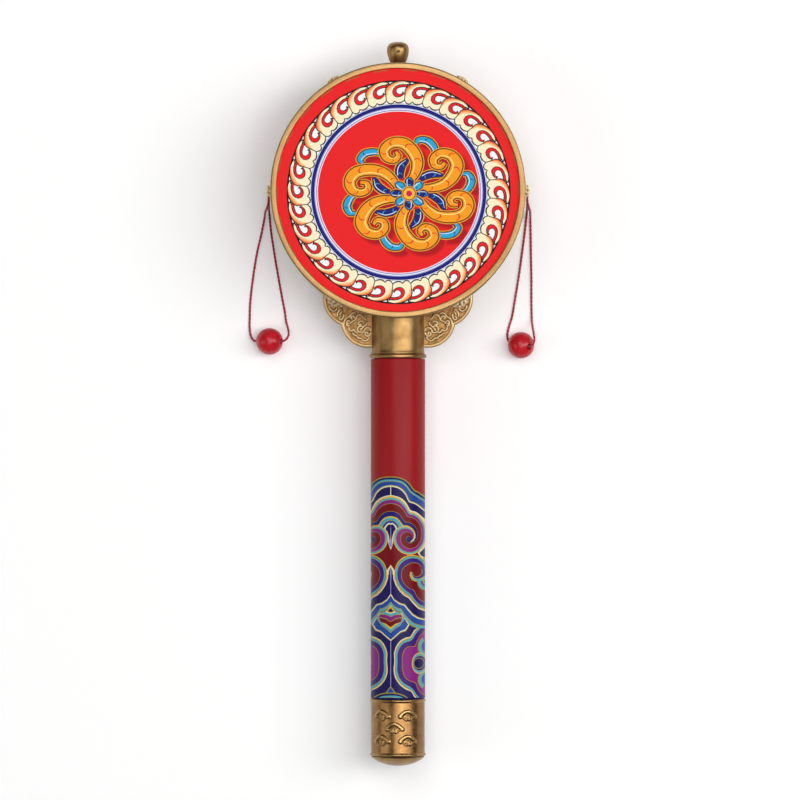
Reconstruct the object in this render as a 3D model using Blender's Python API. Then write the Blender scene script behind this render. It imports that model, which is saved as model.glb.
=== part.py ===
"""Rattle drum, lying on its back hoop: a two-headed drum on a handle, with a corded bead at each side.

Metres, +Z up. The drum's face looks up, the finial points to +Y and the handle to -Y. The origin is
under the middle of the object's length, on the surface that it lies on.
"""

import math

import bmesh
import bpy
from mathutils import Euler, Matrix, Vector
from mathutils.geometry import interpolate_bezier

# Clearances
GAP = 0.0003
WELD = 0.000005

# Edges sharper than this stay sharp
SMOOTH_ANGLE = math.radians(40)

# Drum
DRUM_DEPTH = 0.042
DRUM_SEGMENTS = 48
HOOP_R = 0.056
HOOP_WALL = 0.0015
HOOP_DEPTH = 0.007
HOOP_BEVEL = 0.0005
FLANGE_WIDTH = 0.0026
FLANGE_THICKNESS = 0.0010
HEAD_THICKNESS = 0.0009
SHELL_WALL = 0.0075

# Studs around the drum's side. The section above a stud's plate is given as shares of its radius and
# height, and its pearls lie outside a share of its radius.
STUD_COUNT = 6
STUD_SEGMENTS = 20
STUD_R = 0.0050
STUD_PLATE = 0.0009
STUD_HEIGHT = 0.0041
STUD_SECTION = ((0.86, 0.46), (0.66, 0.54), (0.52, 0.84), (0.24, 1.0))
PEARL_COUNT = 10
PEARL_RING = 0.6
PEARL_SWELL = 0.05
CORD_SLOT_LEVEL = 0.0026
CORD_SLOT_DEPTH = 0.0034
CORD_SLOT_LENGTH = 0.0033

# Finial: the powers make its top blunter than a half circle
FINIAL_SEGMENTS = 16
FINIAL_BASE_R = 0.0031
FINIAL_R = 0.00485
FINIAL_REACH = 0.010
FINIAL_SHOULDER = 0.0034
FINIAL_SIDE_POWER = 0.7
FINIAL_TOP_POWER = 0.9
FINIAL_HOLE_R = 0.0007

# Handle
HANDLE_SEGMENTS = 28
HANDLE_R = 0.0120
HANDLE_LENGTH = 0.1497
HANDLE_CHAMFER = 0.0004

# Ferrule: its step is how far its wall lies inside the handle's surface
FERRULE_LENGTH = 0.0175
FERRULE_STEP = 0.0005
FERRULE_WALL = 0.0006
FERRULE_LIP = 0.0011
FERRULE_LIP_LENGTH = 0.0016

# Pommel: the sleeve's step is counted from the handle, and the cap's from the sleeve. A cloud's top
# is a share of its foot, and the power pinches its ends.
SLEEVE_STEP = 0.00015
SLEEVE_WALL = 0.0006
SLEEVE_LENGTH = 0.0251
SLEEVE_LIP = 0.00045
SLEEVE_LIP_LENGTH = 0.0013
CAP_STEP = 0.00015
CAP_HEIGHT = 0.0042
CAP_POWER = 1.5
CAP_WALL = 0.0009
CLOUD_GROUPS = 2
CLOUD_SPREAD = math.radians(30)
CLOUD_TURN = math.radians(-9)
CLOUD_WIDTH = 0.0084
CLOUD_HEIGHT = 0.0042
CLOUD_ROW = 0.0055
CLOUD_RELIEF = 0.0005
CLOUD_CORNERS = 6
CLOUD_TOP_SHARE = 0.8
CLOUD_PINCH = 1.3

# Wings beside the ferrule: two round lobes each. A lobe's middle lies so far beside the ferrule's
# wall and so far outside the hoop, and a scroll's middle so far from its lobe's.
WING_THICKNESS = 0.0013
WING_RIM_R = 0.00085
OUTER_LOBE_R = 0.0126
OUTER_LOBE_ASIDE = 0.0077
OUTER_LOBE_BEYOND = -0.0049
INNER_LOBE_R = 0.0121
INNER_LOBE_ASIDE = 0.0
INNER_LOBE_BEYOND = 0.0020
LOBE_STEPS = 8
OUTER_LOBE_START = math.radians(12)
INNER_LOBE_END = math.radians(-100)
WING_RIDGE_R = 0.00045
SPIRAL_CORE = 0.3
WING_SCROLL_R = 0.0027
WING_SCROLL_OFFSET = (0.0050, -0.0011)
WING_SCROLL_START = math.radians(-60)
WING_SCROLL_TURNS = 1.4
WING_CURL_R = 0.0021
WING_CURL_OFFSET = (0.0070, -0.0056)
WING_CURL_START = math.radians(200)
WING_CURL_TURNS = 1.1
SPIRAL_STEPS_PER_TURN = 8
WING_SCALLOP_R = 0.0089
WING_SCALLOP_DEPTH = 0.0007
WING_SCALLOPS = 3
WING_SCALLOPS_START = math.radians(-8)
WING_SCALLOPS_SWEEP = math.radians(-72)

# Beads: each one's middle seen from the drum's axis, and the tilt of its hole
BEAD_R = 0.0060
BEAD_HOLE_R = 0.0014
BEAD_SEGMENTS = 16
BEAD_STEPS = 8
LEFT_BEAD_AT = (-0.0570, -0.0660)
LEFT_BEAD_TILT = math.radians(67)
LEFT_BEAD_TURN = 0.0
RIGHT_BEAD_AT = (0.05456, -0.0677)
RIGHT_BEAD_TILT = math.radians(42)
RIGHT_BEAD_TURN = math.radians(-12)

# Cords: routes in millimetres from the drum's axis, heights from the surface that the drum lies on
CORD_R = 0.00055
CORD_SPACING = 0.0033
LEFT_ROUTE = (
    (-57.1, -2.2, 21.7), (-57.1, -4.0, 21.7), (-57.5, -6.2, 21.0), (-58.1, -7.8, 18.9),
    (-58.5, -8.4, 15.5), (-58.8, -8.8, 10.0), (-59.0, -9.4, 5.2), (-59.3, -11.0, 1.9),
    (-59.9, -14.2, 0.7), (-61.0, -19.5, 0.63), (-62.7, -27.0, 0.63), (-64.4, -37.5, 0.63),
    (-65.6, -48.0, 0.63), (-65.9, -56.0, 0.63), (-65.9, -59.6, 0.9), (-65.6, -62.5, 1.75),
    (-64.6, -65.0, 2.75), (-62.4, -66.0, 3.7), (-57.0, -66.0, 6.0), (-51.9, -66.0, 8.15),
    (-49.8, -65.3, 8.95), (-48.6, -63.5, 8.9), (-48.5, -61.5, 7.4), (-49.0, -59.5, 4.4),
    (-49.7, -57.0, 1.6), (-50.3, -52.8, 0.63), (-51.6, -46.0, 0.63), (-53.6, -35.0, 0.63),
    (-55.1, -26.0, 0.63), (-56.3, -18.0, 0.63), (-56.9, -12.4, 0.75), (-57.2, -9.0, 2.2),
    (-57.3, -7.5, 5.4), (-57.3, -6.9, 10.0), (-57.2, -6.7, 14.0), (-57.15, -6.35, 16.8),
    (-57.1, -5.3, 19.1), (-57.1, -3.4, 20.25), (-57.1, -2.2, 20.35),
)
RIGHT_ROUTE = (
    (57.1, -2.2, 21.7), (57.1, -4.0, 21.7), (57.5, -6.2, 21.0), (58.1, -7.8, 18.9),
    (58.4, -8.5, 15.5), (58.6, -9.0, 10.0), (58.7, -9.6, 5.2), (58.8, -11.2, 1.9),
    (58.9, -14.6, 0.7), (59.0, -20.0, 0.63), (59.1, -27.0, 0.63), (59.3, -37.0, 0.63),
    (59.3, -47.0, 0.63), (59.4, -53.6, 0.65), (59.5, -56.8, 1.5), (59.7, -59.0, 3.6),
    (59.9, -60.6, 6.2), (60.1, -62.0, 8.8), (60.3, -63.6, 10.8), (60.4, -65.5, 11.8),
    (59.75, -67.35, 11.5), (58.0, -68.35, 9.8), (54.56, -67.7, 6.0), (51.2, -67.0, 2.7),
    (49.2, -65.9, 1.35), (48.6, -63.4, 0.7), (49.2, -60.0, 0.63), (50.7, -55.0, 0.63),
    (52.0, -47.5, 0.63), (53.8, -36.5, 0.63), (55.2, -26.5, 0.63), (56.3, -18.0, 0.63),
    (56.9, -12.4, 0.75), (57.2, -9.0, 2.2), (57.3, -7.5, 5.4), (57.3, -6.9, 10.0),
    (57.2, -6.7, 14.0), (57.15, -6.35, 16.8), (57.1, -5.3, 19.1), (57.1, -3.4, 20.25),
    (57.1, -2.2, 20.35),
)

# Sizes that follow from the ones above
FERRULE_R = HANDLE_R - FERRULE_STEP
SLEEVE_R = HANDLE_R - SLEEVE_STEP
CAP_R = SLEEVE_R - CAP_STEP
SHELL_R = HOOP_R - HOOP_WALL - GAP
SEAT_R = SHELL_R + GAP
HEAD_LEVEL = FLANGE_THICKNESS + GAP
SHELL_LEVEL = HEAD_LEVEL + HEAD_THICKNESS + GAP
MID_LEVEL = DRUM_DEPTH / 2
COPE_START = SEAT_R - FERRULE_R ** 2 / SEAT_R
FERRULE_END = HOOP_R + FERRULE_LENGTH
HANDLE_TOP = FERRULE_END + GAP
HANDLE_END = HANDLE_TOP + HANDLE_LENGTH
SLEEVE_TOP = HANDLE_END + GAP
SLEEVE_END = SLEEVE_TOP + SLEEVE_LENGTH
CAP_TOP = SLEEVE_END + GAP
CAP_TIP = CAP_TOP + CAP_HEIGHT
FINIAL_TIP = HOOP_R + FINIAL_REACH
DRUM_Y = (CAP_TIP - FINIAL_TIP) / 2
DRUM_MIDDLE = Vector((0, DRUM_Y, MID_LEVEL))

FINISHES = {
    "hoop_gold": ((0.58, 0.36, 0.12), 0.38, 1.0),
    "aged_brass": ((0.46, 0.29, 0.11), 0.32, 1.0),
    "red_lacquer": ((0.30, 0.012, 0.014), 0.30, 0.0),
    "printed_lacquer": ((0.30, 0.012, 0.014), 0.34, 0.0),
    "printed_head": ((0.84, 0.018, 0.018), 0.45, 0.0),
    "plain_head": ((0.78, 0.02, 0.02), 0.50, 0.0),
    "bead_paint": ((0.48, 0.012, 0.022), 0.25, 0.0),
    "crimson_thread": ((0.34, 0.006, 0.03), 0.80, 0.0),
}


def clear_scene():
    for obj in list(bpy.data.objects):
        bpy.data.objects.remove(obj, do_unlink=True)


def finish_of(name):
    material = bpy.data.materials.get(name)
    if material is None:
        colour, roughness, metallic = FINISHES[name]
        material = bpy.data.materials.new(name)
        material.use_nodes = True
        shader = material.node_tree.nodes["Principled BSDF"]
        shader.inputs["Base Color"].default_value = (*colour, 1.0)
        shader.inputs["Roughness"].default_value = roughness
        shader.inputs["Metallic"].default_value = metallic
        material.diffuse_color = (*colour, 1.0)
    return material


def add_object(name, data, finish, parent=None):
    obj = bpy.data.objects.new(name, data)
    bpy.context.scene.collection.objects.link(obj)
    obj.parent = parent
    if finish:
        data.materials.append(finish_of(finish))
    return obj


def add_empty(name, location, rotation=(0, 0, 0)):
    empty = bpy.data.objects.new(name, None)
    bpy.context.scene.collection.objects.link(empty)
    empty.location = location
    empty.rotation_euler = rotation
    return empty


def mesh_from(bm, name):
    bmesh.ops.remove_doubles(bm, verts=bm.verts, dist=WELD)
    bmesh.ops.recalc_face_normals(bm, faces=bm.faces)
    mesh = bpy.data.meshes.new(name)
    bm.to_mesh(mesh)
    bm.free()
    mesh.shade_smooth()
    mesh.set_sharp_from_angle(angle=SMOOTH_ANGLE)
    return mesh


def turned_mesh(name, profile, segments, ring=False):
    """Turn a profile of (radius, height) points about Z. A ring's profile closes on itself."""
    bm = bmesh.new()
    verts = [bm.verts.new((radius, 0, height)) for radius, height in profile]
    edges = [bm.edges.new(pair) for pair in zip(verts, verts[1:])]
    if ring:
        edges.append(bm.edges.new((verts[-1], verts[0])))
    bmesh.ops.spin(
        bm, geom=verts + edges, cent=(0, 0, 0), axis=(0, 0, 1), angle=math.tau,
        steps=segments, use_merge=True,
    )
    return mesh_from(bm, name)


def prism_mesh(name, outline, low, high):
    """Raise a closed outline of (x, y) points from one height to another."""
    bm = bmesh.new()
    face = bm.faces.new([bm.verts.new((x, y, low)) for x, y in outline])
    raised = bmesh.ops.extrude_face_region(bm, geom=[face])
    tops = [item for item in raised["geom"] if isinstance(item, bmesh.types.BMVert)]
    bmesh.ops.translate(bm, verts=tops, vec=(0, 0, high - low))
    return mesh_from(bm, name)


def smooth_through(points, steps):
    """Points on a smooth curve through the given ones."""
    ends = [2 * points[0] - points[1]] + list(points) + [2 * points[-1] - points[-2]]
    line = [points[0]]
    for before, start, end, after in zip(ends, ends[1:], ends[2:], ends[3:]):
        first_handle = start + (end - before) / 6
        last_handle = end - (after - start) / 6
        line += interpolate_bezier(start, first_handle, last_handle, end, steps)[1:]
    return line


def evenly_spaced(line, spacing):
    """The same line with its points an equal way apart."""
    lengths = [0.0]
    for start, end in zip(line, line[1:]):
        lengths.append(lengths[-1] + (end - start).length)
    count = round(lengths[-1] / spacing)
    spaced = [line[0]]
    place = 0
    for number in range(1, count):
        wanted = lengths[-1] * number / count
        while lengths[place + 1] < wanted:
            place += 1
        share = (wanted - lengths[place]) / (lengths[place + 1] - lengths[place])
        spaced.append(line[place].lerp(line[place + 1], share))
    return spaced + [line[-1]]


def tube_curve(name, lines, radius, resolution):
    """A curve with one filled tube along each line."""
    curve = bpy.data.curves.new(name, "CURVE")
    curve.dimensions = "3D"
    curve.bevel_depth = radius
    curve.bevel_resolution = resolution
    curve.use_fill_caps = True
    for line in lines:
        spline = curve.splines.new("POLY")
        spline.points.add(len(line) - 1)
        for point, place in zip(spline.points, line):
            point.co = (*place, 1.0)
    return curve


def box_mesh(name, low, high):
    bm = bmesh.new()
    bmesh.ops.create_cube(bm, size=1.0)
    for vertex in bm.verts:
        vertex.co = [(a + b) / 2 + share * (b - a) for a, b, share in zip(low, high, vertex.co)]
    return mesh_from(bm, name)


def tube_mesh(name, lines, radius):
    """Four-sided ridges, as one mesh of closed pieces."""
    scratch = bpy.data.objects.new(name, tube_curve(name, lines, radius, 0))
    swept = bpy.data.meshes.new_from_object(scratch)
    bpy.data.objects.remove(scratch, do_unlink=True)
    bm = bmesh.new()
    bm.from_mesh(swept)
    return mesh_from(bm, name)


def combine(obj, tool, operation):
    """Cut the tool out of the object, or join it on, and leave the tool out of the model."""
    tool.hide_render = True
    tool.display_type = "WIRE"
    boolean = obj.modifiers.new(tool.name, "BOOLEAN")
    boolean.object = tool
    boolean.operation = operation
    boolean.solver = "EXACT"


def rod_mesh(name, radius, low, high, segments):
    return turned_mesh(name, [(0, low), (radius, low), (radius, high), (0, high)], segments)


def hoop_profile():
    """Section of the back hoop: a band around the shell and a flange under the head's edge."""
    band_inside = HOOP_R - HOOP_WALL
    flange_inside = HOOP_R - FLANGE_WIDTH
    return [
        (flange_inside, 0), (HOOP_R - HOOP_BEVEL, 0), (HOOP_R, HOOP_BEVEL), (HOOP_R, HOOP_DEPTH),
        (band_inside, HOOP_DEPTH), (band_inside, FLANGE_THICKNESS), (flange_inside, FLANGE_THICKNESS),
    ]


def mirrored_up(profile):
    return [(radius, DRUM_DEPTH - height) for radius, height in profile]


def make_drum():
    drum = add_empty("drum", (0, DRUM_Y, 0))
    shell_bore = SHELL_R - SHELL_WALL
    shell_top = DRUM_DEPTH - SHELL_LEVEL
    shell_profile = [
        (shell_bore, SHELL_LEVEL), (SHELL_R, SHELL_LEVEL), (SHELL_R, shell_top), (shell_bore, shell_top),
    ]
    head_profile = [
        (0, HEAD_LEVEL), (SHELL_R, HEAD_LEVEL),
        (SHELL_R, HEAD_LEVEL + HEAD_THICKNESS), (0, HEAD_LEVEL + HEAD_THICKNESS),
    ]
    hoop = hoop_profile()
    shell = turned_mesh("shell", shell_profile, DRUM_SEGMENTS, ring=True)
    add_object("shell", shell, "red_lacquer", drum)
    hoop_back = turned_mesh("hoop_back", hoop, DRUM_SEGMENTS, ring=True)
    add_object("hoop_back", hoop_back, "hoop_gold", drum)
    hoop_front = turned_mesh("hoop_front", mirrored_up(hoop), DRUM_SEGMENTS, ring=True)
    add_object("hoop_front", hoop_front, "hoop_gold", drum)
    head_back = turned_mesh("head_back", head_profile, DRUM_SEGMENTS)
    add_object("head_back", head_back, "plain_head", drum)
    head_front = turned_mesh("head_front", mirrored_up(head_profile), DRUM_SEGMENTS)
    add_object("head_front", head_front, "printed_head", drum)


def stud_profile(grow=0.0):
    """Half section of a rosette stud: a plate, a ring of pearls and a round boss."""
    plate = [(0, -grow), (STUD_R + grow, -grow), (STUD_R + grow, STUD_PLATE + grow)]
    crown = [(out * STUD_R + grow, up * STUD_HEIGHT + grow) for out, up in STUD_SECTION]
    return plate + crown + [(0, STUD_HEIGHT + grow)]


def rosette_mesh(name):
    """The stud's turned form with its outer ring swelling into pearls."""
    mesh = turned_mesh(name, stud_profile(), STUD_SEGMENTS)
    for vertex in mesh.vertices:
        place = vertex.co
        if STUD_PLATE < place.z and place.xy.length > PEARL_RING * STUD_R:
            swell = 1 + PEARL_SWELL * math.cos(PEARL_COUNT * math.atan2(place.y, place.x))
            vertex.co = (place.x * swell, place.y * swell, place.z)
    return mesh


def stud_placement(number):
    """Where a stud sits, counted clockwise from the finial, with its own +Z pointing outwards."""
    angle = math.tau * (number + 0.5) / STUD_COUNT
    outward = Vector((math.sin(angle), math.cos(angle), 0))
    return DRUM_MIDDLE + SEAT_R * outward, (-math.pi / 2, 0, -angle)


def cord_slot_mesh(name, side):
    """The slot in a side stud's lower flank, wide enough for both strands of a cord."""
    half_width = CORD_R + GAP
    near = STUD_R - CORD_SLOT_DEPTH
    far = STUD_R + CORD_SLOT_DEPTH
    reach = sorted((side * near, side * far))
    low = (reach[0], -CORD_SLOT_LENGTH / 2, CORD_SLOT_LEVEL - half_width)
    high = (reach[1], CORD_SLOT_LENGTH / 2, CORD_SLOT_LEVEL + half_width)
    return box_mesh(name, low, high)


def make_studs():
    """The rosettes. The two at the sides each have a slot that a cord comes out of."""
    corded = {STUD_COUNT // 4: 1, 3 * STUD_COUNT // 4: -1}
    for number in range(STUD_COUNT):
        name = f"stud_{number + 1}"
        stud = add_object(name, rosette_mesh(name), "aged_brass")
        stud.location, stud.rotation_euler = stud_placement(number)
        if number in corded:
            slot = add_object(f"{name}_slot", cord_slot_mesh("slot", corded[number]), None, stud)
            combine(stud, slot, "DIFFERENCE")


def make_stud_room():
    """The room that all the studs take, with their clearance."""
    bm = bmesh.new()
    for number in range(STUD_COUNT):
        location, rotation = stud_placement(number)
        grown = turned_mesh("stud_room", stud_profile(GAP), STUD_SEGMENTS)
        grown.transform(Matrix.LocRotScale(location, Euler(rotation), None))
        bm.from_mesh(grown)
        bpy.data.meshes.remove(grown)
    return add_object("stud_room", mesh_from(bm, "stud_room"), None)


def make_drum_room():
    """The room that the shell and both hoops take, with their clearance."""
    outside = HOOP_R + GAP
    hoop_top = HOOP_DEPTH + GAP
    half = [(0, -GAP), (outside, -GAP), (outside, hoop_top), (SEAT_R, hoop_top)]
    room_mesh = turned_mesh("drum_room", half + mirrored_up(half)[::-1], DRUM_SEGMENTS)
    room = add_object("drum_room", room_mesh, None)
    room.location = (0, DRUM_Y, 0)
    return room


def finial_profile():
    """Half section of the knob, from its foot on the shell to its rounded top."""
    waist = FINIAL_TIP - FINIAL_SHOULDER
    profile = [(0, SEAT_R), (FINIAL_BASE_R, SEAT_R)]
    rises = 4
    for step in range(rises + 1):
        share = step / rises
        radius = FINIAL_BASE_R + (FINIAL_R - FINIAL_BASE_R) * math.sin(math.pi / 2 * share)
        profile.append((radius, HOOP_R + (waist - HOOP_R) * share))
    roundings = 5
    for step in range(1, roundings):
        turn = math.pi / 2 * step / roundings
        radius = FINIAL_R * math.cos(turn) ** FINIAL_SIDE_POWER
        profile.append((radius, waist + FINIAL_SHOULDER * math.sin(turn) ** FINIAL_TOP_POWER))
    return profile + [(0, FINIAL_TIP)]


def make_finial():
    knob = turned_mesh("finial", finial_profile(), FINIAL_SEGMENTS)
    finial = add_object("finial", knob, "aged_brass")
    finial.location = DRUM_MIDDLE
    finial.rotation_euler = (-math.pi / 2, 0, 0)
    reach = 2 * FINIAL_R
    rod = rod_mesh("hole", FINIAL_HOLE_R, -reach, reach, FINIAL_SEGMENTS // 2)
    hole = add_object("finial_hole", rod, None)
    hole.location = DRUM_MIDDLE + Vector((0, FINIAL_TIP - FINIAL_SHOULDER, 0))
    combine(finial, hole, "DIFFERENCE")


def make_ferrule(handle_axis, drum_room):
    """A turned collar with a lip, its upper end coped to the drum."""
    bore = FERRULE_R - FERRULE_WALL
    lip_r = FERRULE_R + FERRULE_LIP
    lip_top = FERRULE_END - FERRULE_LIP_LENGTH
    edge = FERRULE_LIP_LENGTH / 4
    profile = [
        (bore, COPE_START), (FERRULE_R, COPE_START), (FERRULE_R, lip_top - edge),
        (lip_r - edge, lip_top), (lip_r, lip_top + edge), (lip_r, FERRULE_END - edge),
        (lip_r - edge, FERRULE_END), (bore, FERRULE_END),
    ]
    collar = turned_mesh("ferrule", profile, HANDLE_SEGMENTS, ring=True)
    ferrule = add_object("ferrule", collar, "aged_brass", handle_axis)
    combine(ferrule, drum_room, "DIFFERENCE")


def make_handle(handle_axis, drum_room):
    """The turned handle, with a tenon in the ferrule and one in the pommel's sleeve."""
    upper_tenon = FERRULE_R - FERRULE_WALL - GAP
    lower_tenon = SLEEVE_R - SLEEVE_WALL - GAP
    edge = HANDLE_CHAMFER
    profile = [
        (0, COPE_START), (upper_tenon, COPE_START), (upper_tenon, HANDLE_TOP),
        (HANDLE_R - edge, HANDLE_TOP), (HANDLE_R, HANDLE_TOP + edge), (HANDLE_R, HANDLE_END - edge),
        (HANDLE_R - edge, HANDLE_END), (lower_tenon, HANDLE_END), (lower_tenon, SLEEVE_END),
        (0, SLEEVE_END),
    ]
    turned = turned_mesh("handle", profile, HANDLE_SEGMENTS)
    handle = add_object("handle", turned, "printed_lacquer", handle_axis)
    combine(handle, drum_room, "DIFFERENCE")


def cloud_boss(bm, column_angle, height):
    """One lens-shaped relief cloud on the sleeve, as a closed boss sunk a little into the wall."""
    half_width = CLOUD_WIDTH / 2 / SLEEVE_R
    foot = (SLEEVE_R - SLEEVE_WALL / 2, 1.0)
    top = (SLEEVE_R + CLOUD_RELIEF, CLOUD_TOP_SHARE)
    rings = []
    for radius, shrink in (foot, top):
        ring = []
        for corner in range(CLOUD_CORNERS):
            turn = math.tau * corner / CLOUD_CORNERS
            bearing = column_angle + shrink * half_width * math.cos(turn)
            rise = math.copysign(abs(math.sin(turn)) ** CLOUD_PINCH, math.sin(turn))
            along = height + shrink * CLOUD_HEIGHT / 2 * rise
            place = (radius * math.sin(bearing), radius * math.cos(bearing), along)
            ring.append(bm.verts.new(place))
        rings.append(ring)
    bm.faces.new(rings[0])
    bm.faces.new(rings[1])
    for corner in range(CLOUD_CORNERS):
        following = (corner + 1) % CLOUD_CORNERS
        bm.faces.new((rings[0][corner], rings[0][following], rings[1][following], rings[1][corner]))


def dome_line(radius, height):
    """Quarter section of a dome, from its foot to just short of its top."""
    steps = 4
    line = []
    for step in range(steps):
        turn = math.pi / 2 * step / steps
        line.append((radius * math.cos(turn), CAP_TOP + height * math.sin(turn) ** CAP_POWER))
    return line


def make_pommel(handle_axis):
    """A sleeve with relief clouds, closed by a hollow domed cap."""
    bore = SLEEVE_R - SLEEVE_WALL
    lip_r = SLEEVE_R + SLEEVE_LIP
    profile = [
        (bore, SLEEVE_TOP), (lip_r, SLEEVE_TOP), (lip_r, SLEEVE_TOP + SLEEVE_LIP_LENGTH),
        (SLEEVE_R, SLEEVE_TOP + SLEEVE_LIP_LENGTH + SLEEVE_LIP),
        (SLEEVE_R, SLEEVE_END - SLEEVE_LIP_LENGTH - SLEEVE_LIP),
        (lip_r, SLEEVE_END - SLEEVE_LIP_LENGTH), (lip_r, SLEEVE_END), (bore, SLEEVE_END),
    ]
    tube = turned_mesh("pommel_sleeve", profile, HANDLE_SEGMENTS, ring=True)
    sleeve = add_object("pommel_sleeve", tube, "aged_brass", handle_axis)
    bm = bmesh.new()
    middle = (SLEEVE_TOP + SLEEVE_END) / 2
    for group in range(CLOUD_GROUPS):
        angle = CLOUD_TURN + math.tau * group / CLOUD_GROUPS
        cloud_boss(bm, angle, middle)
        for spread in (-CLOUD_SPREAD, CLOUD_SPREAD):
            for row in (-CLOUD_ROW, CLOUD_ROW):
                cloud_boss(bm, angle + spread, middle + row)
    clouds = add_object("pommel_clouds", mesh_from(bm, "clouds"), None, handle_axis)
    combine(sleeve, clouds, "UNION")
    inside_height = CAP_HEIGHT - CAP_WALL
    outside = dome_line(CAP_R, CAP_HEIGHT)
    inside = dome_line(CAP_R - CAP_WALL, inside_height)
    cap_profile = [(0, CAP_TOP + inside_height)] + inside[::-1] + outside + [(0, CAP_TIP)]
    cap = turned_mesh("pommel_cap", cap_profile, HANDLE_SEGMENTS)
    add_object("pommel_cap", cap, "aged_brass", handle_axis)


def around(centre, reach, turn):
    return (centre[0] + reach * math.cos(turn), centre[1] + reach * math.sin(turn))


def arc(centre, radius, start, end, steps):
    return [around(centre, radius, start + (end - start) * step / steps) for step in range(steps + 1)]


def lobe_middle(aside, beyond):
    """The middle of a lobe, from the drum's middle, beside the ferrule and outside the hoop."""
    x = FERRULE_R + aside
    return Vector((x, -math.sqrt((HOOP_R + beyond) ** 2 - x ** 2)))


def lobe_meeting(outer, outer_r, inner, inner_r):
    """The free crossing point of the wing's two lobe circles."""
    between = inner - outer
    along = (between.length_squared + outer_r ** 2 - inner_r ** 2) / (2 * between.length)
    across = math.sqrt(outer_r ** 2 - along ** 2)
    direction = between.normalized()
    return outer + along * direction + across * Vector((-direction.y, direction.x))


def angle_at(centre, point):
    return math.atan2(point.y - centre.y, point.x - centre.x)


def lobed_edge(outer, inner, inset):
    """The wing's free edge as two arcs, from behind the drum's hoop to inside the ferrule."""
    outer_r = OUTER_LOBE_R - inset
    inner_r = INNER_LOBE_R - inset
    meeting = lobe_meeting(outer, outer_r, inner, inner_r)
    first = arc(outer, outer_r, OUTER_LOBE_START, angle_at(outer, meeting), LOBE_STEPS)
    second = arc(inner, inner_r, angle_at(inner, meeting), INNER_LOBE_END, LOBE_STEPS)
    return first, second


def spiral(centre, radius, start, turns):
    """A scroll that winds inwards to its core."""
    steps = round(SPIRAL_STEPS_PER_TURN * turns)
    line = []
    for step in range(steps + 1):
        share = step / steps
        reach = radius * (1 - (1 - SPIRAL_CORE) * share)
        line.append(around(centre, reach, start + math.tau * turns * share))
    return line


def scalloped_arc(centre):
    """A wavy ridge that follows the inner lobe's edge."""
    line = []
    steps = 4 * WING_SCALLOPS
    for step in range(steps + 1):
        share = step / steps
        reach = WING_SCALLOP_R + WING_SCALLOP_DEPTH * abs(math.sin(math.pi * WING_SCALLOPS * share))
        line.append(around(centre, reach, WING_SCALLOPS_START + WING_SCALLOPS_SWEEP * share))
    return line


def make_collar_room():
    """The room that the ferrule takes, with its clearance."""
    rod = rod_mesh("collar_room", FERRULE_R + GAP, COPE_START / 2, FERRULE_END, HANDLE_SEGMENTS)
    room = add_object("collar_room", rod, None)
    room.location = DRUM_MIDDLE
    room.rotation_euler = (math.pi / 2, 0, 0)
    return room


def make_wing(name, side, rooms):
    """A cast plate with a rolled rim and scrolls in relief, coped to the shell, ferrule and stud."""
    def placed(line, height):
        return [Vector((side * x, y, height)) for x, y in line]

    half = WING_THICKNESS / 2
    ridge_level = half - WING_RIDGE_R / 4
    outer = lobe_middle(OUTER_LOBE_ASIDE, OUTER_LOBE_BEYOND)
    inner = lobe_middle(INNER_LOBE_ASIDE, INNER_LOBE_BEYOND)
    outer_edge, inner_edge = lobed_edge(outer, inner, WING_RIM_R / 2)
    outer_rim, inner_rim = lobed_edge(outer, inner, WING_RIM_R)
    behind_ferrule = inner + Vector((-FERRULE_R / 2, OUTER_LOBE_R))
    behind_shell = outer + Vector((0, OUTER_LOBE_R / 2))
    outline = [(side * x, y) for x, y in outer_edge + inner_edge[1:] + [behind_ferrule, behind_shell]]
    wing = add_object(name, prism_mesh(name, outline, -half, half), "aged_brass")
    raised = [
        add_object(f"{name}_outer_rim", tube_mesh("rim", [placed(outer_rim, 0)], WING_RIM_R), None),
        add_object(f"{name}_inner_rim", tube_mesh("rim", [placed(inner_rim, 0)], WING_RIM_R), None),
    ]
    scroll_middle = inner + Vector(WING_SCROLL_OFFSET)
    curl_middle = outer + Vector(WING_CURL_OFFSET)
    scrolls = [
        spiral(scroll_middle, WING_SCROLL_R, WING_SCROLL_START, WING_SCROLL_TURNS),
        spiral(curl_middle, WING_CURL_R, WING_CURL_START, WING_CURL_TURNS),
        scalloped_arc(inner),
    ]
    ridges = tube_mesh("relief", [placed(line, ridge_level) for line in scrolls], WING_RIDGE_R)
    raised.append(add_object(f"{name}_relief", ridges, None))
    wing.location = DRUM_MIDDLE
    for piece in raised:
        piece.location = DRUM_MIDDLE
        combine(wing, piece, "UNION")
    for room in rooms:
        combine(wing, room, "DIFFERENCE")


def make_bead(name, place, tilt, turn):
    """A round bead on the surface, its hole tilted from upright towards a bearing."""
    rim_angle = math.acos(BEAD_HOLE_R / BEAD_R)
    outside = arc((0, 0), BEAD_R, -rim_angle, rim_angle, BEAD_STEPS)
    bead = add_object(name, turned_mesh(name, outside, BEAD_SEGMENTS, ring=True), "bead_paint")
    bead.location = (place[0], DRUM_Y + place[1], BEAD_R)
    bead.rotation_euler = (0, tilt, turn)


def make_cord(name, route):
    points = [Vector((x / 1000, DRUM_Y + y / 1000, z / 1000)) for x, y, z in route]
    line = evenly_spaced(smooth_through(points, 12), CORD_SPACING)
    add_object(name, tube_curve(name, [line], CORD_R, 2), "crimson_thread")


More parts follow.
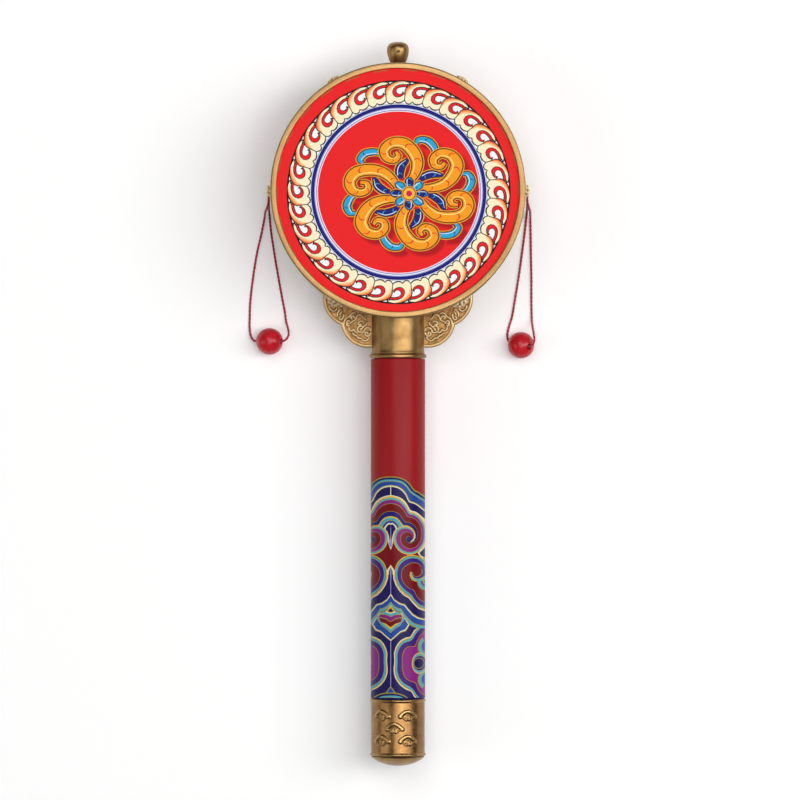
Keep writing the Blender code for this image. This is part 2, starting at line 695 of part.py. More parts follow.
def main():
    clear_scene()
    make_drum()
    make_studs()
    make_finial()
    handle_axis = add_empty("handle_axis", DRUM_MIDDLE, (math.pi / 2, 0, 0))
    drum_room = make_drum_room()
    make_ferrule(handle_axis, drum_room)
    make_handle(handle_axis, drum_room)
    make_pommel(handle_axis)
    wing_neighbours = (drum_room, make_collar_room(), make_stud_room())
    make_wing("wing_left", -1, wing_neighbours)
    make_wing("wing_right", 1, wing_neighbours)
    make_bead("bead_left", LEFT_BEAD_AT, LEFT_BEAD_TILT, LEFT_BEAD_TURN)
    make_bead("bead_right", RIGHT_BEAD_AT, RIGHT_BEAD_TILT, RIGHT_BEAD_TURN)
    make_cord("cord_left", LEFT_ROUTE)
    make_cord("cord_right", RIGHT_ROUTE)


main()
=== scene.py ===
"""Looks of a rattle drum that lies on its back hoop: printed face, gilt hoops, cast brass and cords."""

import math

import bpy
import numpy as np
from mathutils import Euler, Matrix, Vector
from mathutils.geometry import delaunay_2d_cdt, interpolate_bezier


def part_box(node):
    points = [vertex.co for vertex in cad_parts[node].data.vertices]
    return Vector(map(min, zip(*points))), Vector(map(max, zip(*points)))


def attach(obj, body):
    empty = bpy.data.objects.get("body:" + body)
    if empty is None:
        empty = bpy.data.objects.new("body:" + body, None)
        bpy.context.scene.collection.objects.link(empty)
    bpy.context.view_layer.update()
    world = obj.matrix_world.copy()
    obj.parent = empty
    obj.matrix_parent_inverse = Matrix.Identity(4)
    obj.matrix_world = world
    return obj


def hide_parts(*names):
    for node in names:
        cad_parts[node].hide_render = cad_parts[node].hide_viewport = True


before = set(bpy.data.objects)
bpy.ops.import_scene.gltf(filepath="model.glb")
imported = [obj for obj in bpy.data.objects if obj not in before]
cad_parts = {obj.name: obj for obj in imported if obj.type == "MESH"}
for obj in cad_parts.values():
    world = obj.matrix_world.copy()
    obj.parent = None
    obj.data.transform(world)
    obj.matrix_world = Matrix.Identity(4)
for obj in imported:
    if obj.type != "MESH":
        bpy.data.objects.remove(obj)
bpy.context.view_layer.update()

MM = 0.001
GAP = 0.3 * MM


def middle_of(node):
    low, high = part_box(node)
    return (low + high) / 2


def size_of(node):
    low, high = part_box(node)
    return high - low


# Places and sizes read from the solids
DRUM = middle_of("shell")
SHELL_R = size_of("shell").x / 2
HOOP_R = size_of("hoop_front").x / 2
HOOP_DEPTH = size_of("hoop_front").z
HEAD_R = size_of("head_front").x / 2
HEAD_THICKNESS = size_of("head_front").z
HANDLE_R = 12.0 * MM
FERRULE_R = 11.5 * MM
FERRULE_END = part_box("ferrule")[0].y
SLEEVE_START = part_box("pommel_sleeve")[1].y
SLEEVE_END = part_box("pommel_sleeve")[0].y
CAP_R = size_of("pommel_cap").x / 2
UP = Vector((0, 0, 1))
AHEAD = Vector((0, 1, 0))

# Camera, straight above, and the photograph's scale
FRAME_WIDTH = 0.352
FRAME_MIDDLE = (0.0009, 0.0017)
SCALE_LEVEL = 0.030
LENS = 300.0
SENSOR = 36.0

# Drum: walls and roundings
SHELL_WALL = 7.5 * MM
HOOP_WALL = 1.5 * MM
FLANGE_WIDTH = 2.6 * MM
FLANGE_THICKNESS = 1.0 * MM

# Cords: routes in millimetres from the drum's axis, heights from the surface that the drum lies on
CORD_D = 1.1 * MM
LEFT_ROUTE = (
    (-57.1, -2.2, 21.7), (-57.1, -4.0, 21.7), (-57.5, -6.2, 21.0), (-58.1, -7.8, 18.9),
    (-58.5, -8.4, 15.5), (-58.8, -8.8, 10.0), (-59.0, -9.4, 5.2), (-59.3, -11.0, 1.9),
    (-59.9, -14.2, 0.7), (-61.0, -19.5, 0.63), (-62.7, -27.0, 0.63), (-64.4, -37.5, 0.63),
    (-65.6, -48.0, 0.63), (-65.9, -56.0, 0.63), (-65.9, -59.6, 0.9), (-65.6, -62.5, 1.75),
    (-64.6, -65.0, 2.75), (-62.4, -66.0, 3.7), (-57.0, -66.0, 6.0), (-51.9, -66.0, 8.15),
    (-49.8, -65.3, 8.95), (-48.6, -63.5, 8.9), (-48.5, -61.5, 7.4), (-49.0, -59.5, 4.4),
    (-49.7, -57.0, 1.6), (-50.3, -52.8, 0.63), (-51.6, -46.0, 0.63), (-53.6, -35.0, 0.63),
    (-55.1, -26.0, 0.63), (-56.3, -18.0, 0.63), (-56.9, -12.4, 0.75), (-57.2, -9.0, 2.2),
    (-57.3, -7.5, 5.4), (-57.3, -6.9, 10.0), (-57.2, -6.7, 14.0), (-57.15, -6.35, 16.8),
    (-57.1, -5.3, 19.1), (-57.1, -3.4, 20.25), (-57.1, -2.2, 20.35),
)
RIGHT_ROUTE = (
    (57.1, -2.2, 21.7), (57.1, -4.0, 21.7), (57.5, -6.2, 21.0), (58.1, -7.8, 18.9),
    (58.4, -8.5, 15.5), (58.6, -9.0, 10.0), (58.7, -9.6, 5.2), (58.8, -11.2, 1.9),
    (58.9, -14.6, 0.7), (59.0, -20.0, 0.63), (59.1, -27.0, 0.63), (59.3, -37.0, 0.63),
    (59.3, -47.0, 0.63), (59.4, -53.6, 0.65), (59.5, -56.8, 1.5), (59.7, -59.0, 3.6),
    (59.9, -60.6, 6.2), (60.1, -62.0, 8.8), (60.3, -63.6, 10.8), (60.4, -65.5, 11.8),
    (59.75, -67.35, 11.5), (58.0, -68.35, 9.8), (54.56, -67.7, 6.0), (51.2, -67.0, 2.7),
    (49.2, -65.9, 1.35), (48.6, -63.4, 0.7), (49.2, -60.0, 0.63), (50.7, -55.0, 0.63),
    (52.0, -47.5, 0.63), (53.8, -36.5, 0.63), (55.2, -26.5, 0.63), (56.3, -18.0, 0.63),
    (56.9, -12.4, 0.75), (57.2, -9.0, 2.2), (57.3, -7.5, 5.4), (57.3, -6.9, 10.0),
    (57.2, -6.7, 14.0), (57.15, -6.35, 16.8), (57.1, -5.3, 19.1), (57.1, -3.4, 20.25),
    (57.1, -2.2, 20.35),
)

# Beads: the tilt of each hole from upright, and its bearing
BEAD_HOLE_R = 1.4 * MM
LEFT_BEAD_TILT = (math.radians(67), 0.0)
RIGHT_BEAD_TILT = (math.radians(42), math.radians(-12))


def ink(red, green, blue):
    """A colour as it is printed, 0 to 255, for a shader."""
    linear = []
    for value in (red, green, blue):
        share = value / 255
        linear.append(share / 12.92 if share <= 0.04045 else ((share + 0.055) / 1.055) ** 2.4)
    return (*linear, 1.0)


# Noise seldom leaves this range
NOISE_ENDS = (0.3, 0.7)


class Finish:
    """A material under construction: its shader, and short ways to add patterns to it."""

    def __init__(self, name, colour, roughness, metallic=0.0, coat=0.0):
        self.material = bpy.data.materials.new(name)
        self.material.use_nodes = True
        self.nodes = self.material.node_tree.nodes
        self.links = self.material.node_tree.links
        self.shader = self.nodes["Principled BSDF"]
        self.setting("Base Color", colour)
        self.setting("Roughness", roughness)
        self.setting("Metallic", metallic)
        self.setting("Coat Weight", coat)
        self.place = self.nodes.new("ShaderNodeTexCoord").outputs["Object"]

    def setting(self, socket, value):
        self.shader.inputs[socket].default_value = value

    def link(self, source, target):
        self.links.new(source, target)

    def noise(self, scale, detail=3.0, stretch=(1, 1, 1), place=None):
        """Noise on the piece, so many waves to a metre, stretched along an axis."""
        mapping = self.nodes.new("ShaderNodeMapping")
        mapping.inputs["Scale"].default_value = stretch
        self.link(place or self.place, mapping.inputs["Vector"])
        texture = self.nodes.new("ShaderNodeTexNoise")
        texture.inputs["Scale"].default_value = scale
        texture.inputs["Detail"].default_value = detail
        self.link(mapping.outputs["Vector"], texture.inputs["Vector"])
        return texture.outputs["Fac"]

    def between(self, factor, low, high, at_low=0.0, at_high=1.0):
        """A number that runs between two ends as the factor runs between two others."""
        scale = self.nodes.new("ShaderNodeMapRange")
        ends = {"From Min": low, "From Max": high, "To Min": at_low, "To Max": at_high}
        for socket, value in ends.items():
            scale.inputs[socket].default_value = value
        self.link(factor, scale.inputs["Value"])
        return scale.outputs["Result"]

    def ramp(self, factor, *stops):
        """Colours along a factor, each stop a position and a colour as it is printed."""
        ramp = self.nodes.new("ShaderNodeValToRGB")
        for element, (position, colour) in zip(ramp.color_ramp.elements, stops):
            element.position = position
            element.color = ink(*colour)
        self.link(factor, ramp.inputs["Fac"])
        return ramp.outputs["Color"]

    def mix(self, factor, first, second):
        """Two colours blended by a factor. The first is another node's output, the second a value."""
        mix = self.nodes.new("ShaderNodeMix")
        mix.data_type = "RGBA"
        self.link(factor, mix.inputs["Factor"])
        self.link(first, mix.inputs[6])
        mix.inputs[7].default_value = second
        return mix.outputs[2]

    def attribute(self, name, output="Color"):
        node = self.nodes.new("ShaderNodeAttribute")
        node.attribute_name = name
        return node.outputs[output]

    def bump(self, height, distance, under=None):
        bump = self.nodes.new("ShaderNodeBump")
        bump.inputs["Distance"].default_value = distance
        self.link(height, bump.inputs["Height"])
        if under is not None:
            self.link(under, bump.inputs["Normal"])
        self.link(bump.outputs["Normal"], self.shader.inputs["Normal"])
        return bump.outputs["Normal"]

    def round_the_drum(self):
        """The direction round the drum's axis at each place, as its metal was rolled."""
        out = self.vector_math("SUBTRACT", self.place, (DRUM.x, DRUM.y, 0))
        return self.vector_math("NORMALIZE", self.vector_math("CROSS_PRODUCT", out, (0, 0, 1)))

    def vector_math(self, operation, first, second=None):
        node = self.nodes.new("ShaderNodeVectorMath")
        node.operation = operation
        self.link(first, node.inputs[0])
        if second is not None:
            node.inputs[1].default_value = second
        return node.outputs["Vector"]

    def colour(self, source):
        self.link(source, self.shader.inputs["Base Color"])

    def roughness(self, grain, lowest, highest):
        """Roughness that follows a noise between two ends."""
        self.link(self.between(grain, *NOISE_ENDS, lowest, highest), self.shader.inputs["Roughness"])


def hoop_gold():
    """Satin gilt metal with a fine rolled grain."""
    finish = Finish("hoop_gold", ink(178, 142, 92), 0.42, metallic=1.0)
    grain = finish.noise(2600, 2.0)
    tone = finish.ramp(finish.noise(60, 4.0), (0.32, (164, 130, 84)), (0.68, (184, 150, 102)))
    finish.colour(finish.mix(finish.between(grain, *NOISE_ENDS, 0.0, 0.35), tone, ink(128, 98, 58)))
    finish.roughness(grain, 0.36, 0.50)
    finish.setting("Anisotropic", 0.7)
    finish.link(finish.round_the_drum(), finish.shader.inputs["Tangent"])
    finish.bump(grain, 0.03 * MM)
    return finish.material


def aged_brass():
    """Cast brass, brown where it lies deep; towards its crests lighter gold, then near-white cream and less
    metallic: partly wear, partly painted highlight.
    """
    finish = Finish("aged_brass", ink(170, 128, 74), 0.36, metallic=1.0)
    wear_and_highlight = finish.attribute("wear_and_highlight", "Fac")
    mottle = finish.noise(420, 4.0)
    grain = finish.noise(3200, 2.0)
    ground = finish.ramp(mottle, (0.34, (104, 74, 42)), (0.66, (150, 112, 68)))
    # Crests go gold, then near-white cream with less metal: wear together with a painted highlight.
    gold = finish.mix(finish.between(wear_and_highlight, 0.0, 0.7), ground, ink(220, 184, 122))
    finish.colour(finish.mix(finish.between(wear_and_highlight, 0.72, 1.0), gold, ink(252, 240, 212)))
    finish.link(finish.between(wear_and_highlight, 0.0, 1.0, 1.0, 0.15), finish.shader.inputs["Metallic"])
    finish.roughness(grain, 0.30, 0.46)
    finish.bump(grain, 0.03 * MM, under=finish.bump(mottle, 0.08 * MM))
    return finish.material


def turned_brass():
    """Turned brass for the collar and the knob: fine rings from the lathe under an old polish."""
    finish = Finish("turned_brass", ink(150, 116, 74), 0.36, metallic=1.0)
    rings = finish.noise(900, 2.0, (0.15, 6.0, 0.15))
    finish.colour(finish.ramp(finish.noise(180, 4.0), (0.30, (130, 98, 58)), (0.70, (166, 134, 86))))
    finish.roughness(rings, 0.32, 0.44)
    finish.bump(rings, 0.02 * MM)
    return finish.material


def pressed_brass():
    """Thin brass pressed into relief, a little polished on its high places."""
    finish = Finish("pressed_brass", ink(146, 110, 66), 0.30, metallic=1.0)
    mottle = finish.noise(150, 4.0)
    tone = finish.ramp(mottle, (0.30, (126, 92, 56)), (0.70, (154, 116, 72)))
    finish.colour(finish.mix(finish.attribute("wear_and_highlight", "Fac"), tone, ink(206, 170, 112)))
    finish.roughness(finish.noise(900, 3.0), 0.25, 0.36)
    finish.bump(mottle, 0.12 * MM)
    return finish.material


def red_lacquer():
    """Glossy lacquer on the drum's wooden wall."""
    finish = Finish("red_lacquer", ink(152, 24, 28), 0.34, coat=0.35)
    finish.colour(finish.ramp(finish.noise(40, 3.0), (0.35, (146, 20, 26)), (0.65, (160, 30, 32))))
    finish.roughness(finish.noise(500, 3.0), 0.30, 0.40)
    finish.bump(finish.noise(260, 3.0), 0.02 * MM)
    return finish.material


def printed_skin():
    """Stretched skin under a satin print."""
    finish = Finish("printed_skin", ink(226, 30, 32), 0.48)
    finish.colour(finish.attribute("print"))
    fibre = finish.noise(1400, 4.0)
    finish.roughness(fibre, 0.52, 0.64)
    finish.setting("Specular IOR Level", 0.12)
    finish.bump(fibre, 0.02 * MM)
    return finish.material


def plain_skin():
    """Stretched skin, dyed red."""
    finish = Finish("plain_skin", ink(214, 30, 32), 0.50)
    finish.colour(finish.ramp(finish.noise(90, 4.0), (0.30, (206, 24, 28)), (0.70, (222, 36, 38))))
    fibre = finish.noise(1400, 4.0)
    finish.roughness(fibre, 0.44, 0.58)
    finish.bump(fibre, 0.02 * MM)
    return finish.material


def printed_film():
    """The satin print on the handle."""
    finish = Finish("printed_film", ink(152, 24, 28), 0.34)
    finish.setting("IOR", 1.28)
    finish.setting("Specular IOR Level", 0.35)
    finish.colour(finish.attribute("print"))
    fine = finish.noise(900, 3.0)
    finish.roughness(fine, 0.32, 0.42)
    finish.bump(fine, 0.01 * MM)
    return finish.material


def bead_paint():
    """Thick glossy paint on the wooden beads."""
    finish = Finish("bead_paint", ink(190, 26, 38), 0.22, coat=0.12)
    finish.setting("IOR", 1.35)
    finish.colour(finish.ramp(finish.noise(160, 3.0), (0.30, (172, 18, 30)), (0.70, (200, 34, 46))))
    finish.roughness(finish.noise(700, 3.0), 0.18, 0.30)
    finish.bump(finish.noise(320, 3.0), 0.05 * MM)
    return finish.material


def crimson_thread():
    """Two plies of thread, their fibres running along the cord."""
    finish = Finish("crimson_thread", ink(168, 20, 50), 0.72)
    finish.setting("Sheen Weight", 0.4)
    along = finish.nodes.new("ShaderNodeUVMap")
    along.uv_map = "along"
    fibre = finish.noise(1.0, 3.0, (30.0, 2400.0, 1.0), place=along.outputs["UV"])
    finish.colour(finish.ramp(fibre, (0.28, (128, 10, 34)), (0.72, (196, 44, 72))))
    finish.bump(fibre, 0.08 * MM)
    return finish.material


def floor_white():
    """Matt white paper that glows a little, as a lit table does."""
    finish = Finish("floor_white", ink(248, 248, 248), 0.8)
    finish.setting("Emission Color", (1.0, 1.0, 1.0, 1.0))
    finish.setting("Emission Strength", 0.10)
    finish.colour(finish.ramp(finish.noise(300, 3.0), (0.3, (247, 247, 247)), (0.7, (250, 250, 250))))
    return finish.material


def smooth_through(points, steps):
    """Points on a smooth curve through the given ones."""
    ends = [2 * points[0] - points[1]] + list(points) + [2 * points[-1] - points[-2]]
    line = [points[0]]
    for before, start, end, after in zip(ends, ends[1:], ends[2:], ends[3:]):
        leaving, arriving = start + (end - before) / 6, end - (after - start) / 6
        line += interpolate_bezier(start, leaving, arriving, end, steps)[1:]
    return line


def evenly_spaced(line, spacing):
    """The same line with its points an equal way apart."""
    places = np.array([tuple(point) for point in line])
    lengths = np.concatenate([[0.0], np.cumsum(np.linalg.norm(np.diff(places, axis=0), axis=1))])
    wanted = np.linspace(0, lengths[-1], round(lengths[-1] / spacing) + 1)
    return [Vector(place) for place in zip(*(np.interp(wanted, lengths, column) for column in places.T))]


def new_mesh_piece(name, vertices, faces):
    mesh = bpy.data.meshes.new(name)
    mesh.from_pydata([tuple(vertex) for vertex in vertices], [], faces)
    mesh.update()
    obj = bpy.data.objects.new(name, mesh)
    bpy.context.scene.collection.objects.link(obj)
    return obj


def ring_faces(rings, corners):
    """The four-sided faces between closed rings of points, all with as many corners."""
    faces = []
    for ring in range(rings - 1):
        for corner in range(corners):
            here, beside = ring * corners + corner, ring * corners + (corner + 1) % corners
            faces.append((here, here + corners, beside + corners, beside))
    return faces


def select_only(obj):
    bpy.ops.object.select_all(action="DESELECT")
    obj.select_set(True)
    bpy.context.view_layer.objects.active = obj


def smooth_shaded(obj, degrees=35):
    select_only(obj)
    bpy.ops.object.shade_smooth_by_angle(angle=math.radians(degrees))
    return obj


def finished(obj, material, slot, *nodes):
    """Give a piece its material, let it ride on the drum, and let it stand for its solids."""
    obj.data.materials.clear()
    obj.data.materials.append(material)
    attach(obj, "root")
    if nodes:
        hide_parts(*nodes)
    return obj


def rounded(corners, steps=4):
    """An outline of (out, along) pairs from corners that also give a rounding radius."""
    line = []
    for number, (out, along, radius) in enumerate(corners):
        corner = Vector((out, along))
        if radius == 0:
            line.append(corner)
            continue
        before = Vector(corners[number - 1][:2]) - corner
        after = Vector(corners[(number + 1) % len(corners)][:2]) - corner
        start = corner + radius * before.normalized()
        end = corner + radius * after.normalized()
        for step in range(steps + 1):
            share = step / steps
            line.append(start.lerp(corner, share).lerp(corner.lerp(end, share), share))
    return line


def turned(name, outline, steps, middle, axis, ring=False):
    """Draw out a line of points and spin it round an axis, as a lathe would. A ring's line is closed."""
    side = Vector((1, 0, 0))
    places = [middle + point[0] * side + point[1] * axis for point in outline]
    bpy.ops.object.select_all(action="DESELECT")
    bpy.ops.mesh.primitive_plane_add(size=MM, location=places[0])
    obj = bpy.context.object
    obj.name = name
    bpy.ops.object.transform_apply(location=True, rotation=True, scale=True)
    bpy.ops.object.mode_set(mode="EDIT")
    bpy.ops.mesh.select_all(action="SELECT")
    bpy.ops.mesh.merge(type="CENTER")
    for here, there in zip(places, places[1:]):
        bpy.ops.mesh.extrude_region_move(TRANSFORM_OT_translate={"value": there - here})
    if ring:
        bpy.ops.mesh.extrude_region_move(TRANSFORM_OT_translate={"value": places[0] - places[-1]})
    bpy.ops.mesh.select_all(action="SELECT")
    bpy.ops.mesh.remove_doubles(threshold=0.002 * MM)
    bpy.ops.mesh.spin(steps=steps, angle=math.tau, center=middle, axis=axis)
    bpy.ops.mesh.select_all(action="SELECT")
    bpy.ops.mesh.remove_doubles(threshold=0.002 * MM)
    bpy.ops.mesh.normals_make_consistent(inside=False)
    bpy.ops.object.mode_set(mode="OBJECT")
    return smooth_shaded(obj)


def cut_away(obj, tool):
    """Cut a tool out of a piece and throw the tool away."""
    boolean = obj.modifiers.new("cut", "BOOLEAN")
    boolean.object = tool
    boolean.operation = "DIFFERENCE"
    boolean.solver = "EXACT"
    select_only(obj)
    bpy.ops.object.modifier_apply(modifier=boolean.name)
    bpy.data.objects.remove(tool, do_unlink=True)
    return obj


def set_wear_and_highlight(obj, shares):
    """Store how far each corner of a cast piece is lightened, by wear and by a painted highlight."""
    layer = obj.data.attributes.new("wear_and_highlight", "FLOAT", "POINT")
    layer.data.foreach_set("value", np.asarray(shares, np.float32))


def make_cord(name, route, material):
    """Two plies twisted together, as one closed tube with a waisted, turning section."""
    ring_gap = 0.25 * CORD_D
    turn_length = 3.2 * CORD_D
    corners, waist = 12, 0.24
    line = smooth_through([Vector(point) * MM + Vector((DRUM.x, DRUM.y, 0)) for point in route], 12)
    line = evenly_spaced(line, ring_gap)
    tangents = [(after - before).normalized() for before, after in zip(line[:1] + line, line[1:] + line[-1:])]
    side = tangents[0].cross(UP).normalized()
    vertices = []
    for number, (point, tangent) in enumerate(zip(line, tangents)):
        side = (side - side.dot(tangent) * tangent).normalized()
        across = tangent.cross(side)
        twist = math.tau * number * ring_gap / turn_length
        for corner in range(corners):
            turn = math.tau * corner / corners
            reach = CORD_D / 2 * (1 - waist + waist * abs(math.cos(turn)) ** 1.5)
            vertices.append(point + reach * (math.cos(turn + twist) * side + math.sin(turn + twist) * across))
    rings = len(line)
    faces = ring_faces(rings, corners)
    faces.append(tuple(range(corners)))
    faces.append(tuple(reversed(range((rings - 1) * corners, rings * corners))))
    obj = new_mesh_piece(f"{name}_thread", vertices, faces)
    layer = obj.data.uv_layers.new(name="along")
    for polygon in obj.data.polygons[:-2]:
        for place, loop in enumerate(polygon.loop_indices):
            ring, corner = divmod(obj.data.loops[loop].vertex_index, corners)
            wraps = corner == 0 and place in (2, 3)
            layer.data[loop].uv = ((1.0 if wraps else corner / corners), ring * ring_gap)
    smooth_shaded(obj, 60)
    finished(obj, material, "crimson_thread", name)
    return obj


def make_bead(name, tilt, material):
    """A drilled bead with softly broken edges round its hole."""
    radius = size_of(name).z / 2
    hole_turn = math.asin(BEAD_HOLE_R / radius)
    bore, bore_end = BEAD_HOLE_R - 0.12 * MM, radius * math.cos(hole_turn) - 0.3 * MM
    first, steps = 1.12 * hole_turn, 28
    outline = [(bore, -bore_end)]
    for step in range(steps + 1):
        turn = first + (math.pi - 2 * first) * step / steps
        outline.append((radius * math.sin(turn), -radius * math.cos(turn)))
    outline.append((bore, bore_end))
    bead = turned(f"{name}_ball", outline, 48, Vector((0, 0, 0)), UP, ring=True)
    bead.data.transform(Matrix.LocRotScale(middle_of(name), Euler((0, *tilt)), None))
    return finished(smooth_shaded(bead, 50), material, "bead_paint", name)


def make_camera():
    camera = bpy.data.objects.new("camera", bpy.data.cameras.new("camera"))
    bpy.context.scene.collection.objects.link(camera)
    camera.data.lens = LENS
    camera.data.sensor_width = SENSOR
    camera.data.clip_end = 20.0
    camera.location = (*FRAME_MIDDLE, SCALE_LEVEL + FRAME_WIDTH * LENS / SENSOR)
    bpy.context.scene.camera = camera


def make_light(name, place, size, watts):
    """A soft box that faces the middle of the floor."""
    light = bpy.data.lights.new(name, "AREA")
    light.shape = "RECTANGLE"
    light.size, light.size_y = size
    light.energy = watts
    obj = bpy.data.objects.new(name, light)
    bpy.context.scene.collection.objects.link(obj)
    obj.location = place
    obj.rotation_euler = (-Vector(place)).to_track_quat("-Z", "Y").to_euler()


def make_studio():
    bpy.ops.object.select_all(action="DESELECT")
    bpy.ops.mesh.primitive_circle_add(vertices=96, radius=4.0, fill_type="NGON", location=(0, 0, 0))
    floor = bpy.context.object
    floor.name = "floor"
    floor.data.materials.append(floor_white())
    world = bpy.data.worlds.new("studio")
    world.use_nodes = True
    background = world.node_tree.nodes["Background"]
    background.inputs["Color"].default_value = (1.0, 0.98, 0.95, 1.0)
    background.inputs["Strength"].default_value = 0.10
    bpy.context.scene.world = world
    bpy.context.scene.view_settings.view_transform = "Standard"
    make_light("overhead", (-0.1, 0.3, 3.3), (1.8, 3.6), 56)
    make_light("right", (1.95, 0.3, 2.7), (1.4, 3.0), 62)
    make_light("left", (-3.0, -0.4, 1.9), (1.4, 2.8), 18)


def make_drum(gold, lacquer, skin):
    """Shell and hoops turned, and the plain back head."""
    half = DRUM.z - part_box("shell")[0].z
    shell = [
        (SHELL_R - SHELL_WALL, -half, 0.4 * MM), (SHELL_R, -half, 0.4 * MM),
        (SHELL_R, half, 0.4 * MM), (SHELL_R - SHELL_WALL, half, 0.4 * MM),
    ]
    finished(turned("drum_shell", rounded(shell), 160, DRUM, UP, ring=True), lacquer, "red_lacquer", "shell")
    for node, side in (("hoop_back", 1), ("hoop_front", -1)):
        base = Vector((DRUM.x, DRUM.y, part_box(node)[0 if side > 0 else 1].z))
        section = [
            (HOOP_R - FLANGE_WIDTH, 0, 0.3 * MM), (HOOP_R, 0, 0.7 * MM),
            (HOOP_R, side * HOOP_DEPTH, 0.4 * MM), (HOOP_R - HOOP_WALL, side * HOOP_DEPTH, 0.3 * MM),
            (HOOP_R - HOOP_WALL, side * FLANGE_THICKNESS, 0),
            (HOOP_R - FLANGE_WIDTH, side * FLANGE_THICKNESS, 0.3 * MM),
        ]
        hoop = turned(f"{node}_gilt", rounded(section), 192, base, UP, ring=True)
        finished(hoop, gold, "hoop_gold", node)
    back = Vector((DRUM.x, DRUM.y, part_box("head_back")[0].z))
    section = [(0, 0, 0), (HEAD_R, 0, 0.2 * MM), (HEAD_R, HEAD_THICKNESS, 0.2 * MM), (0, HEAD_THICKNESS, 0)]
    finished(turned("head_back_skin", rounded(section), 160, back, UP), skin, "plain_head", "head_back")


class Picture:
    """A flat picture of areas laid one over another, drawn in millimetres."""

    def __init__(self):
        self.areas = []
        self.cuts = []
        self.dots = []

    def area(self, outline, colour):
        self.areas.append((np.array([tuple(point)[:2] for point in outline]), colour))

    def stroke(self, line, colour, grow=0.0):
        self.area(stroke_outline(line, grow), colour)

    def cut(self, line, closed=False):
        self.cuts.append((np.array([tuple(point)[:2] for point in line]), closed))

    def sheet(self, rim, ground):
        """Triangles inside a rim with their colours, the topmost area's or else the ground's."""
        self.cut(rim, closed=True)
        points, edges = [], []
        for outline, closed in [(outline, True) for outline, colour in self.areas] + self.cuts:
            first = len(points)
            count = len(outline)
            points += [Vector(point) for point in outline]
            edges += [(first + place, first + (place + 1) % count) for place in range(count - (not closed))]
        points += [Vector(dot) for dot in self.dots]
        points, _, faces = delaunay_2d_cdt(points, edges, [], 0, 1e-5)[:3]
        points = np.array([tuple(point) for point in points])
        faces = np.array(faces)
        middles = points[faces].mean(axis=1)
        inside = wound_round(middles, self.cuts[-1][0])
        faces, middles = faces[inside], middles[inside]
        colours = ground(middles)
        for outline, colour in self.areas:
            low, high = outline.min(axis=0), outline.max(axis=0)
            near = np.flatnonzero(((middles > low) & (middles < high)).all(axis=1))
            if len(near):
                colours[near[wound_round(middles[near], outline)]] = colour
        return *without_spares(points, faces), colours


def without_spares(places, faces):
    """Only the places that some face uses, and the faces numbered by them."""
    used, numbers = np.unique(faces, return_inverse=True)
    return places[used], numbers.reshape(faces.shape)


def wound_round(places, outline):
    """Which places an outline goes round."""
    start, end = outline, np.roll(outline, -1, axis=0)
    x, y = places[:, :1], places[:, 1:]
    side = (end[:, 0] - start[:, 0]) * (y - start[:, 1]) - (x - start[:, 0]) * (end[:, 1] - start[:, 1])
    up = (start[:, 1] <= y) & (end[:, 1] > y) & (side > 0)
    down = (start[:, 1] > y) & (end[:, 1] <= y) & (side < 0)
    return up.sum(axis=1) != down.sum(axis=1)


def stroke_outline(line, grow=0.0):
    """The outline of a brush stroke, from points that each give a place and a width."""
    left, right = [], []
    for before, here, after in zip(line[:1] + line, line, line[1:] + line[-1:]):
        along = (after - before).xy.normalized()
        across = Vector((-along.y, along.x)) * (here.z / 2 + grow)
        left.append(here.xy + across)
        right.append(here.xy - across)
    return left + right[::-1]


def brushed(points, steps=5):
    """A smooth stroke from a few (x, y, width) points."""
    return smooth_through([Vector(point) for point in points], steps)


def round_outline(corners, steps=4):
    """A smooth closed outline through some corners."""
    points = [Vector((*corner, 0)) for corner in corners]
    wrapped = points[-2:] + points + points[:2]
    return smooth_through(wrapped, steps)[2 * steps:-2 * steps]


BORDER_CELLS = 32
CELL_TURN = math.tau / BORDER_CELLS
CELL_STEPS = 8
BORDER_START = math.radians(3.4)
BORDER_INNER_R, BORDER_OUTER_R = 35.0, 50.0
FACE_SHIFT = Vector((0.3, -0.9))
FACE_RED = ink(237, 33, 35)
BORDER_RINGS = (
    (35.35, FACE_RED), (35.8, ink(243, 222, 232)), (36.1, ink(88, 104, 190)), (36.65, ink(232, 234, 248)),
    (37.0, ink(150, 158, 212)), (38.5, ink(28, 32, 120)), (38.8, ink(236, 236, 244)),
    (39.0, ink(150, 150, 168)), (48.35, ink(250, 249, 250)), (49.1, ink(28, 16, 18)), (99.0, FACE_RED),
)


# The border unrolled for drawing: a cloud's width, units to a millimetre, and the radius where its depth starts
CLOUD_WIDTH = 200
BORDER_UNIT = 16.83
BORDER_TOP_R = 57.95


def face_place(strip_x, strip_y):
    """A place on the face for one on the unrolled border."""
    bearing = BORDER_START + CELL_TURN * strip_x / CLOUD_WIDTH
    radius = BORDER_TOP_R - strip_y / BORDER_UNIT
    return Vector((radius * math.sin(bearing), radius * math.cos(bearing)))


def ring_points(radius, first, count, total=BORDER_CELLS * CELL_STEPS):
    """Points clockwise along a circle on the face."""
    bearings = [BORDER_START + math.tau * (first + step) / total for step in range(count)]
    return [Vector((radius * math.sin(bearing), radius * math.cos(bearing))) for bearing in bearings]


def ring_ground(places):
    radii = np.linalg.norm(places, axis=1)
    colours = np.empty((len(places), 4))
    for limit, colour in reversed(BORDER_RINGS):
        colours[radii < limit] = colour
    return colours


